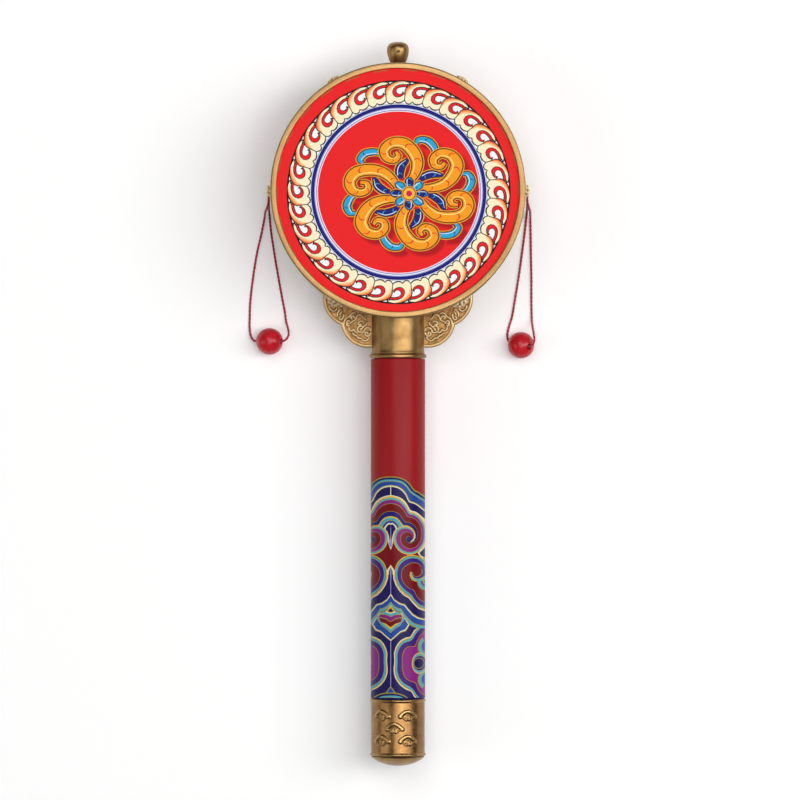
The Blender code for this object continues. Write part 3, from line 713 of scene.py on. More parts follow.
def draw_cloud(picture, shift):
    """One curling cloud of the border, its tail reaching under the next one clockwise."""
    def on_face(line):
        return [face_place(point.x + shift, point.y) for point in line]

    def brush(points, colour, grow=0.0):
        picture.area(on_face(stroke_outline(brushed(points), grow)), colour)

    def outlined(line, colour, width):
        closed = [Vector((point.x, point.y, width)) for point in [*line, line[0]]]
        picture.area(on_face(stroke_outline(closed)), colour)

    body = round_outline((
        (2, 240), (4, 222), (15, 204), (36, 187), (66, 173), (99, 163), (131, 156), (170, 153), (202, 155),
        (230, 160), (252, 171), (218, 180), (208, 200), (208, 226), (218, 250), (215, 279), (201, 298),
        (173, 311),
        (139, 316), (112, 312), (92, 304), (74, 317), (45, 321), (18, 309), (4, 291), (6, 277), (5, 263),
    ))
    picture.area(on_face(body), ink(253, 240, 203))
    edge = ((6, 272), (3, 244), (4, 222), (15, 204), (36, 187), (66, 173), (99, 163), (140, 156), (190, 154))
    widths = ((2, 0), (26, 0), (34, 6), (40, 14), (38, 20), (26, 22), (16, 18), (8, 12), (0, 3))
    for share, colour in ((1.0, ink(254, 216, 160)), (0.72, ink(254, 176, 112)), (0.42, ink(253, 118, 62))):
        inner = [(x + share * out, y + share * down) for (x, y), (out, down) in zip(edge, widths)]
        crescent = brushed([(*point, 0) for point in edge], 3)
        crescent += brushed([(*point, 0) for point in inner], 3)[::-1]
        picture.area(on_face(crescent), colour)
    outlined(body, ink(38, 32, 32), 9.0)
    inside = ((182, 194), (206, 194), (214, 214), (214, 244), (196, 249), (182, 240), (168, 252),
              (146, 256), (122, 250),
              (110, 234), (112, 216), (128, 203), (156, 196))
    picture.area(on_face(round_outline(inside)), ink(247, 250, 252))
    hook = [Vector((*point, 0)) for point in (
        (238, 186), (212, 180), (183, 179), (147, 184), (114, 193), (90, 210), (77, 233), (82, 254),
        (104, 269),
        (134, 273), (165, 267), (186, 256), (193, 247), (180, 240), (170, 250), (148, 254), (127, 248),
        (115, 234),
        (117, 218), (131, 206), (160, 199), (193, 196), (238, 200),
    )]
    picture.area(on_face(hook), ink(237, 28, 40))
    outlined(hook, ink(58, 26, 28), 7.0)
    brush(((199, 250, 5), (190, 243, 12), (182, 236, 8), (178, 231, 2)), ink(40, 18, 22))


def border_sheet():
    """The whole border: one cloud's cell, copied round the face."""
    picture = Picture()
    for number in range(-2, 2):
        draw_cloud(picture, CLOUD_WIDTH * number)
    for radius, _ in BORDER_RINGS[:-1]:
        picture.cut(ring_points(radius, 0, CELL_STEPS + 1))
    inner = ring_points(BORDER_INNER_R, 0, CELL_STEPS + 1)
    outer = ring_points(BORDER_OUTER_R, 0, CELL_STEPS + 1)
    places, faces, colours = picture.sheet(outer + inner[::-1], ring_ground)
    sheets = []
    for number in range(BORDER_CELLS):
        sine, cosine = math.sin(CELL_TURN * number), math.cos(CELL_TURN * number)
        turned_places = places @ np.array([[cosine, -sine], [sine, cosine]])
        sheets.append((turned_places, faces, colours))
    return sheets


# The dashes beside the hoop: their count and bearings, then their place and width in millimetres
DASHES = 26
DASH_START, DASH_SPACING, DASH_LENGTH = math.radians(2.3), math.radians(13.846), math.radians(6.75)
DASH_R, DASH_DROP, DASH_WIDTH = 53.1, 0.35, 0.34


def edge_sheet():
    """The plain red band outside the border, with the dashes that show beside the upper half of the hoop."""
    picture = Picture()
    for number in range(DASHES):
        line = []
        for step in range(5):
            bearing = DASH_START + DASH_SPACING * number + DASH_LENGTH * step / 4
            place = Vector((DASH_R * math.sin(bearing), DASH_R * math.cos(bearing) - DASH_DROP, DASH_WIDTH))
            line.append(place - FACE_SHIFT.to_3d())
        picture.stroke(line, ink(126, 116, 60))
    total = BORDER_CELLS * CELL_STEPS
    picture.cut(ring_points(BORDER_OUTER_R, 0, total), closed=True)
    rim = [point - FACE_SHIFT for point in ring_points(HEAD_R / MM, 0, total)]
    places, faces, colours = picture.sheet(rim, ring_ground)
    hole = np.array([tuple(point) for point in ring_points(BORDER_OUTER_R, 0, total)])
    outside = ~wound_round(places[faces].mean(axis=1), hole)
    return places, faces[outside], colours[outside]


MEDALLION_MIDDLE = Vector((4.6, -0.6))
MEDALLION_STRETCH = Vector((1.02, 0.88))
GOLD_LINE = ink(226, 160, 52)
DARK_LINE = ink(84, 30, 22)
SHADOW_SHIFT = Vector((1.9, -2.0))
ARM_SHADOWS = (
    (2.0, ink(228, 31, 33)), (1.5, ink(214, 27, 31)), (1.0, ink(196, 23, 28)), (0.5, ink(178, 20, 26)),
)


def draw_arm(picture, route, turn, layer, fill, scale_ink, light):
    """One curling arm of the medallion, a layer at a time so that the arms' shadows lie under them all."""
    def on_face(points):
        placed = []
        for point in points:
            x = point.x * math.cos(turn) - point.y * math.sin(turn)
            y = point.x * math.sin(turn) + point.y * math.cos(turn)
            placed.append(Vector((x * MEDALLION_STRETCH.x, y * MEDALLION_STRETCH.y)) + MEDALLION_MIDDLE)
        return placed

    line = brushed(route, 6)
    if layer == "shadow":
        for grow, colour in ARM_SHADOWS:
            shifted = [point + SHADOW_SHIFT for point in on_face(stroke_outline(line, grow))]
            picture.area(shifted, colour)
        return
    for grow, colour in ((0.95, GOLD_LINE), (0.5, DARK_LINE), (0.0, fill)):
        picture.area(on_face(stroke_outline(line, grow)), colour)
    spacing = 7
    for place in range(spacing // 2, len(line) - 4, spacing):
        here, along = line[place], (line[place + 1] - line[place - 1]).xy.normalized()
        across = Vector((-along.y, along.x))
        scale = []
        for step in range(-3, 4):
            share = step / 3
            point = here.xy + across * here.z * 0.44 * share + along * here.z * 0.4 * (1 - share * share)
            scale.append(Vector((*point, here.z * (0.16 - 0.11 * abs(share)))))
        picture.area(on_face(stroke_outline(scale)), scale_ink)
    streak = []
    for before, here, after in zip(line, line[1:], line[2:]):
        along = (after - before).xy.normalized()
        side = here.xy + Vector((-along.y, along.x)) * here.z * 0.30
        streak.append(Vector((*side, here.z * 0.11)))
    picture.area(on_face(stroke_outline(streak[2:-2])), light)


ARM_ROUTE = (
    (6.5, 0.0, 2.6), (11.0, -1.6, 3.6), (16.0, -1.8, 4.4), (21.0, 0.6, 4.9), (24.6, 5.0, 4.9),
    (24.2, 10.0, 4.4),
    (20.6, 12.8, 3.8), (16.8, 11.6, 3.2), (15.8, 8.4, 2.6), (18.0, 6.6, 2.0), (20.2, 7.8, 1.2),
)
LEAF_ROUTE = ((7.0, 4.4, 1.6), (10.0, 5.2, 3.0), (13.2, 4.8, 3.0), (15.6, 3.2, 1.8), (17.2, 2.4, 0.5))
CURL_ROUTE = ((21.0, -5.6, 0.8), (24.6, -4.8, 2.4), (27.4, -1.2, 2.8), (27.0, 2.6, 2.2), (24.8, 3.2, 1.2))
PETAL_ROUTE = ((2.6, 0.0, 1.2), (4.4, 0.0, 2.8), (6.4, 0.0, 2.9), (8.2, 0.0, 0.6))


def medallion_sheet():
    """The middle of the face: curling cloud arms round a flower, in orange and gold with blue between."""
    picture = Picture()
    orange = (ink(250, 158, 32), ink(228, 72, 26), ink(255, 226, 128))
    navy = (ink(27, 36, 122), ink(34, 168, 222), ink(236, 240, 250))
    cyan = (ink(40, 168, 216), ink(28, 42, 130), ink(250, 236, 244))
    turns = [math.radians(24) + math.tau * number / 6 for number in range(6)]
    for layer in ("shadow", "paint"):
        for turn in turns:
            draw_arm(picture, CURL_ROUTE, turn - 0.15, layer, *cyan)
        for turn in turns:
            draw_arm(picture, LEAF_ROUTE, turn, layer, *navy)
        for turn in turns:
            draw_arm(picture, ARM_ROUTE, turn, layer, *orange)
    for number in range(8):
        draw_arm(picture, PETAL_ROUTE, math.tau * number / 8, "paint", *(cyan if number % 2 else navy))
    eye = ((3.3, GOLD_LINE), (2.9, DARK_LINE), (2.6, ink(252, 186, 60)), (1.3, ink(206, 30, 90)))
    for radius, colour in eye:
        circle = [(MEDALLION_MIDDLE.x + radius * math.cos(turn), MEDALLION_MIDDLE.y + radius * math.sin(turn))
                  for turn in np.linspace(0, math.tau, 25)[:-1]]
        picture.area(circle, colour)
    total = BORDER_CELLS * CELL_STEPS
    return picture.sheet(ring_points(BORDER_INNER_R, 0, total), ring_ground)


def paint(obj, colours):
    """Store a colour for each face, as the print on it."""
    layer = obj.data.color_attributes.new("print", "FLOAT_COLOR", "CORNER")
    loops = np.zeros(len(obj.data.polygons), int)
    obj.data.polygons.foreach_get("loop_total", loops)
    layer.data.foreach_set("color", np.repeat(colours, loops, axis=0).ravel().astype(np.float32))


def merge_seams(obj):
    """Join the copies of a repeated pattern where they meet."""
    select_only(obj)
    bpy.ops.object.mode_set(mode="EDIT")
    bpy.ops.mesh.select_all(action="SELECT")
    bpy.ops.mesh.remove_doubles(threshold=0.001 * MM)
    bpy.ops.mesh.normals_make_consistent(inside=False)
    bpy.ops.object.mode_set(mode="OBJECT")
    return obj


def make_printed_head(skin):
    """The front head: a thin disc whose upper face carries the print."""
    sheets = border_sheet() + [edge_sheet(), medallion_sheet()]
    top = HEAD_THICKNESS / MM
    vertices, faces, colours = [], [], []
    first = 0
    for places, triangles, shades in sheets:
        vertices.append(np.column_stack([places + np.array(FACE_SHIFT), np.full(len(places), top)]))
        faces += (triangles + first).tolist()
        colours.append(shades)
        first += len(places)
    total = BORDER_CELLS * CELL_STEPS
    rim = [tuple(point) for point in ring_points(HEAD_R / MM, 0, total)]
    vertices.append(np.array([(*point, level) for level in (top, 0) for point in rim]))
    for step in range(total):
        following = (step + 1) % total
        faces.append([first + step, first + following, first + total + following, first + total + step])
    faces.append([first + total + step for step in range(total)])
    colours.append(np.tile(FACE_RED, (total + 1, 1)))
    base = np.array([DRUM.x, DRUM.y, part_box("head_front")[0].z])
    obj = new_mesh_piece("head_front_print", np.concatenate(vertices) * MM + base, faces)
    paint(obj, np.concatenate(colours))
    merge_seams(obj)
    smooth_shaded(obj)
    return finished(obj, skin, "printed_head", "head_front")


def drum_room():
    """The room that the shell and the hoops take, with their clearance, to cut others to."""
    half = DRUM.z
    seat = SHELL_R + GAP
    step = half - HOOP_DEPTH - GAP
    outline = [
        (0, -half - GAP), (HOOP_R + GAP, -half - GAP), (HOOP_R + GAP, -step), (seat, -step),
        (seat, step), (HOOP_R + GAP, step), (HOOP_R + GAP, half + GAP), (0, half + GAP),
    ]
    return turned("drum_room", [Vector(point) for point in outline], 192, DRUM, UP)


def make_finial(brass):
    """The knob on top, drilled crosswise, and a little aslant so that no light comes through."""
    seat = SHELL_R + GAP
    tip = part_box("finial")[1].y - DRUM.y
    shoulder, radius, foot = 3.4 * MM, 4.85 * MM, 3.1 * MM
    waist = tip - shoulder
    outline = [(0, seat), (foot, seat)]
    for step in range(13):
        share = step / 12
        swell = (radius - foot) * math.sin(math.pi / 2 * share)
        outline.append((foot + swell, HOOP_R + (waist - HOOP_R) * share))
    for step in range(1, 15):
        turn = math.pi / 2 * step / 15
        outline.append((radius * math.cos(turn) ** 0.7, waist + shoulder * math.sin(turn) ** 0.9))
    outline.append((0, tip))
    knob = turned("finial_knob", outline, 64, DRUM, AHEAD)
    bpy.ops.object.select_all(action="DESELECT")
    drill_lean = math.radians(14)
    middle = DRUM + (waist + 0.3 * MM) * AHEAD + 0.2 * MM * Vector((1, 0, 0))
    bpy.ops.mesh.primitive_cylinder_add(
        vertices=32, radius=0.75 * MM, depth=20 * MM, location=middle, rotation=(drill_lean, 0, 0))
    cut_away(knob, bpy.context.object)
    smooth_shaded(knob, 40)
    return finished(knob, brass, "aged_brass", "finial")


def make_ferrule(brass):
    """The turned collar with its rolled lip and a fine groove above it, coped to the drum."""
    end = DRUM.y - FERRULE_END
    radius, wall, lip = FERRULE_R, 0.6 * MM, 1.1 * MM
    outline = rounded([
        (radius - wall, SHELL_R - 2 * MM, 0), (radius, SHELL_R - 2 * MM, 0),
        (radius, end - 3.4 * MM, 0.8 * MM),
        (radius + 0.35 * MM, end - 2.2 * MM, 0.3 * MM), (radius + 0.1 * MM, end - 1.75 * MM, 0.1 * MM),
        (radius + lip, end - 1.6 * MM, 0.5 * MM), (radius + lip, end, 0.6 * MM),
        (radius - wall, end, 0.1 * MM),
    ])
    collar = turned("ferrule_collar", outline, 128, DRUM, -AHEAD, ring=True)
    cut_away(collar, drum_room())
    smooth_shaded(collar, 40)
    return finished(collar, brass, "aged_brass", "ferrule")


def make_cap(brass):
    """The domed end of the pommel."""
    start = DRUM.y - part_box("pommel_cap")[1].y
    height, wall = size_of("pommel_cap").y, 0.9 * MM
    outside, inside = [(CAP_R, start)], [(CAP_R - wall, start)]
    for step in range(1, 17):
        turn = math.pi / 2 * step / 16
        outside.append((CAP_R * math.cos(turn), start + height * math.sin(turn) ** 1.5))
        inside.append(((CAP_R - wall) * math.cos(turn), start + (height - wall) * math.sin(turn) ** 1.5))
    outside[-1], inside[-1] = (0, start + height), (0, start + height - wall)
    dome = turned("pommel_dome", outside[::-1] + inside, 128, DRUM, -AHEAD)
    return finished(smooth_shaded(dome, 50), brass, "aged_brass", "pommel_cap")


# The handle's print, drawn unrolled: across from the middle of a cloud arch to the line where it mirrors,
# and down from a little above the arch, 29.7 units to a millimetre
PRINT_UNIT = 29.7
PRINT_WIDTH = 444.0
PRINT_START, PRINT_END = 30.0, 2950.0
PRINT_TOP = 123.64 * MM
PRINT_TURN = math.radians(-15.3)
LACQUER_RED = ink(150, 22, 27)
OLIVE = ink(150, 136, 40)
GOLD_INK = ink(214, 170, 40)
CREAM_INK = ink(224, 214, 170)
NAVY_INK = ink(30, 24, 104)
DEEP_NAVY = ink(26, 16, 84)
BLUE_INK = ink(32, 70, 150)
TURQUOISE_INK = ink(66, 166, 178)
PURPLE_INK = ink(56, 26, 118)
MAGENTA_INK = ink(132, 30, 122)
WINE_INK = ink(112, 6, 16)
LILAC_INK = ink(150, 138, 196)

ARCH_LINES = (
    (OLIVE, ((0, 58), (95, 66), (175, 93), (245, 148), (305, 230), (355, 256), (415, 298), (470, 340))),
    (DEEP_NAVY, ((0, 72), (92, 80), (168, 106), (235, 160), (296, 246), (348, 272), (410, 314), (470, 360))),
    (TURQUOISE_INK, ((0, 97), (84, 103), (162, 130), (221, 185), (268, 251), (333, 295), (393, 336),
                     (470, 392))),
    (OLIVE, ((0, 116), (82, 122), (158, 148), (214, 200), (262, 268), (328, 310), (390, 350), (470, 408))),
    (BLUE_INK, ((0, 124), (80, 130), (154, 156), (210, 208), (260, 278), (326, 318), (388, 360), (470, 420))),
    (OLIVE, ((0, 168), (85, 182), (155, 222), (207, 284), (246, 370), (305, 392), (375, 432), (470, 520))),
    (CREAM_INK, ((0, 176), (82, 190), (150, 230), (200, 292), (240, 380), (300, 400), (370, 442),
                 (470, 532))),
    (DEEP_NAVY, ((0, 192), (78, 206), (142, 244), (192, 304), (234, 392), (296, 412), (364, 454),
                 (470, 546))),
    (CREAM_INK, ((0, 300), (75, 316), (145, 348), (205, 408), (252, 496), (315, 516), (375, 556),
                 (470, 650))),
)
VOLUTE_OUTSIDE = (
    (0, 314), (85, 332), (155, 376), (205, 438), (247, 516), (305, 533), (365, 570), (415, 633), (448, 718),
    (458, 830), (445, 920), (405, 1000), (345, 1055), (265, 1083), (175, 1070), (95, 1020), (50, 950),
    (33, 880), (40, 800), (85, 735), (155, 708), (225, 715), (280, 752), (307, 805), (303, 860), (275, 900),
)
VOLUTE_INSIDE = (
    (0, 595), (60, 608), (100, 638), (133, 680), (158, 710), (200, 710), (245, 728), (283, 758), (307, 800),
    (315, 845), (303, 880), (280, 905), (260, 915), (243, 918), (223, 914), (210, 903), (203, 890),
    (202, 875), (207, 860), (217, 850), (233, 845), (250, 848), (260, 856), (267, 866), (269, 876),
    (265, 888),
)
VOLUTE_BANDS = (
    (GOLD_INK, 0.0, 0.0), (TURQUOISE_INK, 0.07, 0.08), (OLIVE, 0.15, 0.20), (MAGENTA_INK, 0.17, 0.23),
    (OLIVE, 0.33, 0.54), (WINE_INK, 0.355, 0.57), (OLIVE, 0.69, 0.97), (NAVY_INK, 0.71, 0.98),
    (GOLD_INK, 0.93, 0.99),
)
LOWER_OUTSIDE = (
    (470, 1210), (430, 1145), (395, 1115), (335, 1093), (255, 1086), (175, 1105), (105, 1160), (65, 1230),
    (48, 1310), (51, 1390), (80, 1470), (125, 1540), (180, 1598), (242, 1632), (292, 1695), (362, 1770),
    (470, 1820),
)
BESIDE_LOWER = (
    (36, 1290), (38, 1345), (42, 1396), (71, 1478), (117, 1549), (174, 1608), (236, 1642), (284, 1703),
    (356, 1779),
    (470, 1832),
)
LOWER_INSIDE = (
    (410, 1320), (408, 1290), (400, 1250), (365, 1205), (295, 1188), (235, 1205), (175, 1245), (145, 1300),
    (140, 1360), (155, 1420), (195, 1480), (245, 1520), (295, 1535), (315, 1570), (345, 1630), (395, 1680),
    (470, 1712),
)
LOWER_BANDS = (
    (GOLD_INK, 0.0), (OLIVE, 0.12), (NAVY_INK, 0.16), (TURQUOISE_INK, 0.20), (OLIVE, 0.36),
    (PURPLE_INK, 0.40), (OLIVE, 0.94),
)
CHEVRON_LINES = (
    (OLIVE, ((0, 1582), (45, 1655), (115, 1705), (185, 1725), (225, 1780), (290, 1850), (360, 1895),
             (470, 1930))),
    (CREAM_INK, ((0, 1590), (45, 1665), (115, 1715), (185, 1735), (225, 1790), (285, 1860), (355, 1905),
                 (470, 1940))),
    (BLUE_INK, ((0, 1612), (45, 1680), (112, 1728), (176, 1746), (218, 1802), (278, 1872), (350, 1918),
                (470, 1954))),
    (OLIVE, ((0, 1694), (48, 1748), (98, 1778), (136, 1783), (176, 1848), (236, 1920), (296, 1970),
             (366, 1998), (470, 2020))),
    (TURQUOISE_INK, ((0, 1706), (46, 1760), (94, 1790), (132, 1796), (172, 1862), (232, 1934),
                     (292, 1982), (364, 2010), (470, 2032))),
    (OLIVE, ((0, 1734), (42, 1784), (88, 1812), (124, 1816), (162, 1880), (222, 1956), (284, 2008),
             (360, 2036), (470, 2060))),
    (DEEP_NAVY, ((0, 1744), (40, 1794), (84, 1822), (118, 1828), (154, 1890), (214, 1966), (276, 2020),
                 (354, 2048), (470, 2072))),
)
HEART_SHAPES = (
    (OLIVE, ((0, 2212), (130, 2100), (200, 2078), (248, 1996), (170, 1880), (150, 1850), (0, 1800))),
    (CREAM_INK, ((0, 2204), (126, 2092), (194, 2070), (240, 1994), (165, 1880), (150, 1850), (0, 1800))),
    (BLUE_INK, ((0, 2190), (122, 2080), (186, 2056), (226, 1992), (160, 1880), (140, 1850), (0, 1800))),
    (OLIVE, ((0, 2102), (70, 2040), (122, 2006), (180, 1924), (160, 1890), (140, 1850), (0, 1800))),
    (TURQUOISE_INK, ((0, 2090), (66, 2030), (118, 1998), (172, 1920), (152, 1888), (130, 1850), (0, 1800))),
    (GOLD_INK, ((0, 2058), (60, 2004), (108, 1974), (158, 1904), (150, 1870), (120, 1845), (0, 1830))),
    (WINE_INK, ((0, 2026), (60, 1982), (130, 1960), (146, 1912), (140, 1870), (100, 1850), (0, 1830))),
    (OLIVE, ((0, 1962), (60, 1924), (140, 1906), (156, 1896), (140, 1866), (100, 1846), (0, 1830))),
    (MAGENTA_INK, ((0, 1952), (60, 1912), (146, 1894), (136, 1866), (100, 1846), (0, 1830))),
    (OLIVE, ((0, 1894), (60, 1866), (132, 1866), (116, 1846), (60, 1830), (0, 1830))),
    (TURQUOISE_INK, ((0, 1884), (60, 1858), (122, 1856), (104, 1836), (50, 1826), (0, 1826))),
    (CREAM_INK, ((0, 1852), (40, 1838), (70, 1826), (40, 1800), (0, 1735))),
    (GOLD_INK, ((0, 1842), (34, 1830), (56, 1820), (0, 1742))),
    (DEEP_NAVY, ((0, 1832), (24, 1826), (38, 1818), (0, 1776))),
)
FLOWER_OUTSIDE = (
    (345, 2040), (300, 2075), (255, 2150), (205, 2160), (125, 2200), (68, 2280), (42, 2370), (46, 2440),
    (45, 2500), (37, 2590), (58, 2690), (118, 2780), (198, 2840), (265, 2870), (300, 2930), (345, 2990),
)
FLOWER_INSIDE = (
    (470, 2050), (400, 2130), (345, 2210), (320, 2280), (245, 2282), (188, 2312), (158, 2385), (152, 2450),
    (152, 2500), (158, 2590), (190, 2680), (250, 2728), (325, 2752), (350, 2820), (395, 2890), (470, 2940),
)
FLOWER_BANDS = (
    (CREAM_INK, 0.0), (GOLD_INK, 0.08), (NAVY_INK, 0.17), (TURQUOISE_INK, 0.20), (OLIVE, 0.36),
    (PURPLE_INK, 0.40), (WINE_INK, 0.86), (OLIVE, 0.94),
)


def smooth_corners(points, steps=3):
    """A smooth line through some (across, down) points."""
    return smooth_through([Vector((*point, 0)) for point in points], steps)


def draw_bands(picture, outside, inside, bands):
    """Bands side by side between two lines, each from its share of the way across at the start and end."""
    outer, inner = smooth_corners(outside), smooth_corners(inside)
    last = len(outer) - 1
    shares = []
    for place in range(last + 1):
        blend = min(1.0, max(0.0, (place / last - 0.3) / 0.3))
        shares.append([band[1] + (band[-1] - band[1]) * blend for band in bands] + [1.0])
    for number, band in enumerate(bands):
        upper = [outer[place].lerp(inner[place], shares[place][number]) for place in range(last + 1)]
        lower = [outer[place].lerp(inner[place], shares[place][number + 1]) for place in range(last + 1)]
        picture.area(upper + lower[::-1], band[0])


def fill_below(picture, line, right, foot, colour):
    """The area from a line across the print down to some depth, from a little left of its middle."""
    left = -20
    below = [Vector((right, foot, 0)), Vector((left, foot, 0)), Vector((left, line[0].y, 0))]
    picture.area(line + below, colour)


def mirrored_outline(points):
    """A smooth outline that crosses the print's middle line, from the half of it on one side."""
    line = smooth_corners(points)
    return line + [Vector((-point.x, point.y, 0)) for point in line[::-1]]


def draw_print(picture):
    """The cloud pattern, from its outer arch down to where the next one starts."""
    foot = PRINT_END + 40
    for colour, line in ARCH_LINES:
        fill_below(picture, smooth_corners(line), 470, foot, colour)
    picture.area(((-5, 192), (5, 192), (5, 302), (-5, 302)), CREAM_INK)
    picture.area(((-20, 1270), (60, 1270), (300, 1100), (470, 1100), (470, foot), (-20, foot)), DEEP_NAVY)
    ground = ((-20, 800), (200, 800), (300, 1000), (470, 1060), (470, 1120), (200, 1200), (60, 1272),
              (-20, 1272))
    picture.area(ground, WINE_INK)
    picture.area(((350, 1060), (470, 940), (470, 1160), (390, 1110)), CREAM_INK)
    picture.area(((372, 1062), (470, 962), (470, 1144), (400, 1100)), DEEP_NAVY)
    inner_arches = (
        (TURQUOISE_INK, ((0, 592), (58, 606), (98, 636), (131, 678), (156, 712), (120, 760))),
        (OLIVE, ((0, 626), (46, 636), (84, 668), (110, 712), (104, 750))),
        (BLUE_INK, ((0, 636), (42, 644), (78, 676), (104, 724), (96, 750))),
    )
    for colour, line in inner_arches:
        picture.area(mirrored_outline(line), colour)
    drops = (
        (CREAM_INK, ((0, 672), (24, 664), (56, 690), (86, 742), (52, 784), (32, 850), (30, 930), (0, 1016))),
        (DEEP_NAVY, ((0, 690), (22, 684), (44, 704), (66, 744), (40, 784), (20, 850), (16, 900), (0, 940))),
        (LILAC_INK, ((0, 700), (4, 740), (6, 860), (22, 930), (14, 970), (0, 990))),
    )
    for colour, line in drops:
        picture.area(mirrored_outline(line), colour)
    draw_bands(picture, VOLUTE_OUTSIDE, VOLUTE_INSIDE, VOLUTE_BANDS)
    circle = [(236 + 36 * math.cos(turn), 882 + 38 * math.sin(turn))
              for turn in np.linspace(0, math.tau, 21)[:-1]]
    picture.area(circle, NAVY_INK)
    tip = ((0, 1208), (12, 1232), (34, 1262), (52, 1290), (52, 1340), (-10, 1340), (-10, 1208))
    picture.area(tip, CREAM_INK)
    core = ((0, 1246), (12, 1268), (24, 1300), (24, 1370), (44, 1430), (90, 1520), (90, 1620),
            (-10, 1620), (-10, 1246))
    picture.area(core, DEEP_NAVY)
    picture.area(((0, 1256), (10, 1290), (5, 1420), (5, 1600), (-10, 1600), (-10, 1256)), LILAC_INK)
    for before, after in zip(BESIDE_LOWER, BESIDE_LOWER[1:]):
        picture.area(stroke_outline([Vector((*before, 14)), Vector((*after, 14))]), CREAM_INK)
    for colour, line in CHEVRON_LINES:
        fill_below(picture, [Vector((*point, 0)) for point in line], 470, 2170, colour)
    for colour, shape in HEART_SHAPES:
        points = [Vector((*point, 0)) for point in shape]
        picture.area(points + [Vector((-point.x, point.y, 0)) for point in points[::-1]], colour)
    picture.area(smooth_corners(LOWER_INSIDE) + [Vector((600, 1712, 0)), Vector((600, 1320, 0))], WINE_INK)
    draw_bands(picture, LOWER_OUTSIDE, LOWER_INSIDE, LOWER_BANDS)
    hook = ((418, 1270, 26), (430, 1320, 40), (400, 1366, 34), (345, 1384, 24), (300, 1366, 14),
            (274, 1310, 4))
    under_hook = ((470, 1374, 24), (420, 1404, 24), (350, 1414, 22), (290, 1398, 18), (262, 1350, 12),
                  (266, 1306, 4))
    for route, colour, grow in (
        (under_hook, GOLD_INK, 10), (under_hook, TURQUOISE_INK, 0), (hook, OLIVE, 6), (hook, PURPLE_INK, 0),
    ):
        picture.area(stroke_outline(brushed(route, 3), grow), colour)
    fan_bands = (
        (120, OLIVE), (108, TURQUOISE_INK), (78, OLIVE), (70, BLUE_INK), (42, GOLD_INK),
        (32, ink(20, 120, 70)),
    )
    for reach, colour in fan_bands:
        arc = [(462 + reach * math.cos(turn), 1436 + reach * math.sin(turn))
               for turn in np.linspace(1.2, 3.3, 9)]
        picture.area(arc + [(470, 1436)], colour)
    magenta = smooth_corners(FLOWER_INSIDE) + [Vector((600, 2940, 0)), Vector((600, 2050, 0))]
    picture.area(magenta, MAGENTA_INK)
    draw_bands(picture, FLOWER_OUTSIDE, FLOWER_INSIDE, FLOWER_BANDS)
    for level in (-1, 1):
        for reach, colour in ((150, OLIVE), (136, TURQUOISE_INK), (108, OLIVE), (98, BLUE_INK)):
            fan = [(500 + reach * math.cos(turn), 2502 + level * (215 + reach * math.sin(turn)))
                   for turn in np.linspace(2.2, 4.4, 9)]
            picture.area(fan, colour)
    for across, down, reach, deep, colour in (
        (372, 2502, 100, 140, GOLD_INK), (372, 2502, 90, 128, TURQUOISE_INK), (376, 2502, 84, 104, OLIVE),
        (376, 2502, 80, 96, PURPLE_INK), (366, 2502, 70, 72, OLIVE), (366, 2502, 62, 63, DEEP_NAVY),
    ):
        ring = [(across + reach * math.cos(turn), down + deep * math.sin(turn))
                for turn in np.linspace(0, math.tau, 25)[:-1]]
        picture.area(ring, colour)
    picture.area(((-5, 2212), (5, 2212), (5, 2800), (-5, 2800)), LILAC_INK)
    picture.area(((0, 2792), (70, 2890), (-70, 2890)), OLIVE)
    picture.area(((0, 2816), (48, 2880), (-48, 2880)), BLUE_INK)
    for colour, line in ARCH_LINES[:5]:
        shifted = [(across, down + 2822) for across, down in line[:5]]
        fill_below(picture, smooth_corners(shifted), 240, 3200, colour)


# The print's four half widths, right, left, and the same at the back: how far each reaches round the handle
RIGHT_TURNS = ((0, 0), (100, 16.4), (200, 32.8), (300, 50.9), (360, 64.0), (400, 75.0), (444, 94.0))
LEFT_TURNS = ((0, 0), (82, 15.0), (155, 30.0), (211, 45.0), (250, 60.0), (300, 74.0), (362, 90.0),
              (444, 110.0))


def print_bearing(across, mirror, beyond):
    """The turn round the handle for a distance across the flat print, from the middle of an arch."""
    turns = RIGHT_TURNS if mirror > 0 else LEFT_TURNS
    line = np.array([tuple(point) for point in smooth_through([Vector(turn) for turn in turns], 8)])
    if beyond:
        return mirror * (math.pi - math.radians(180 - turns[-1][1]) * across / PRINT_WIDTH)
    return mirror * np.radians(np.interp(across, line[:, 0], line[:, 1]))


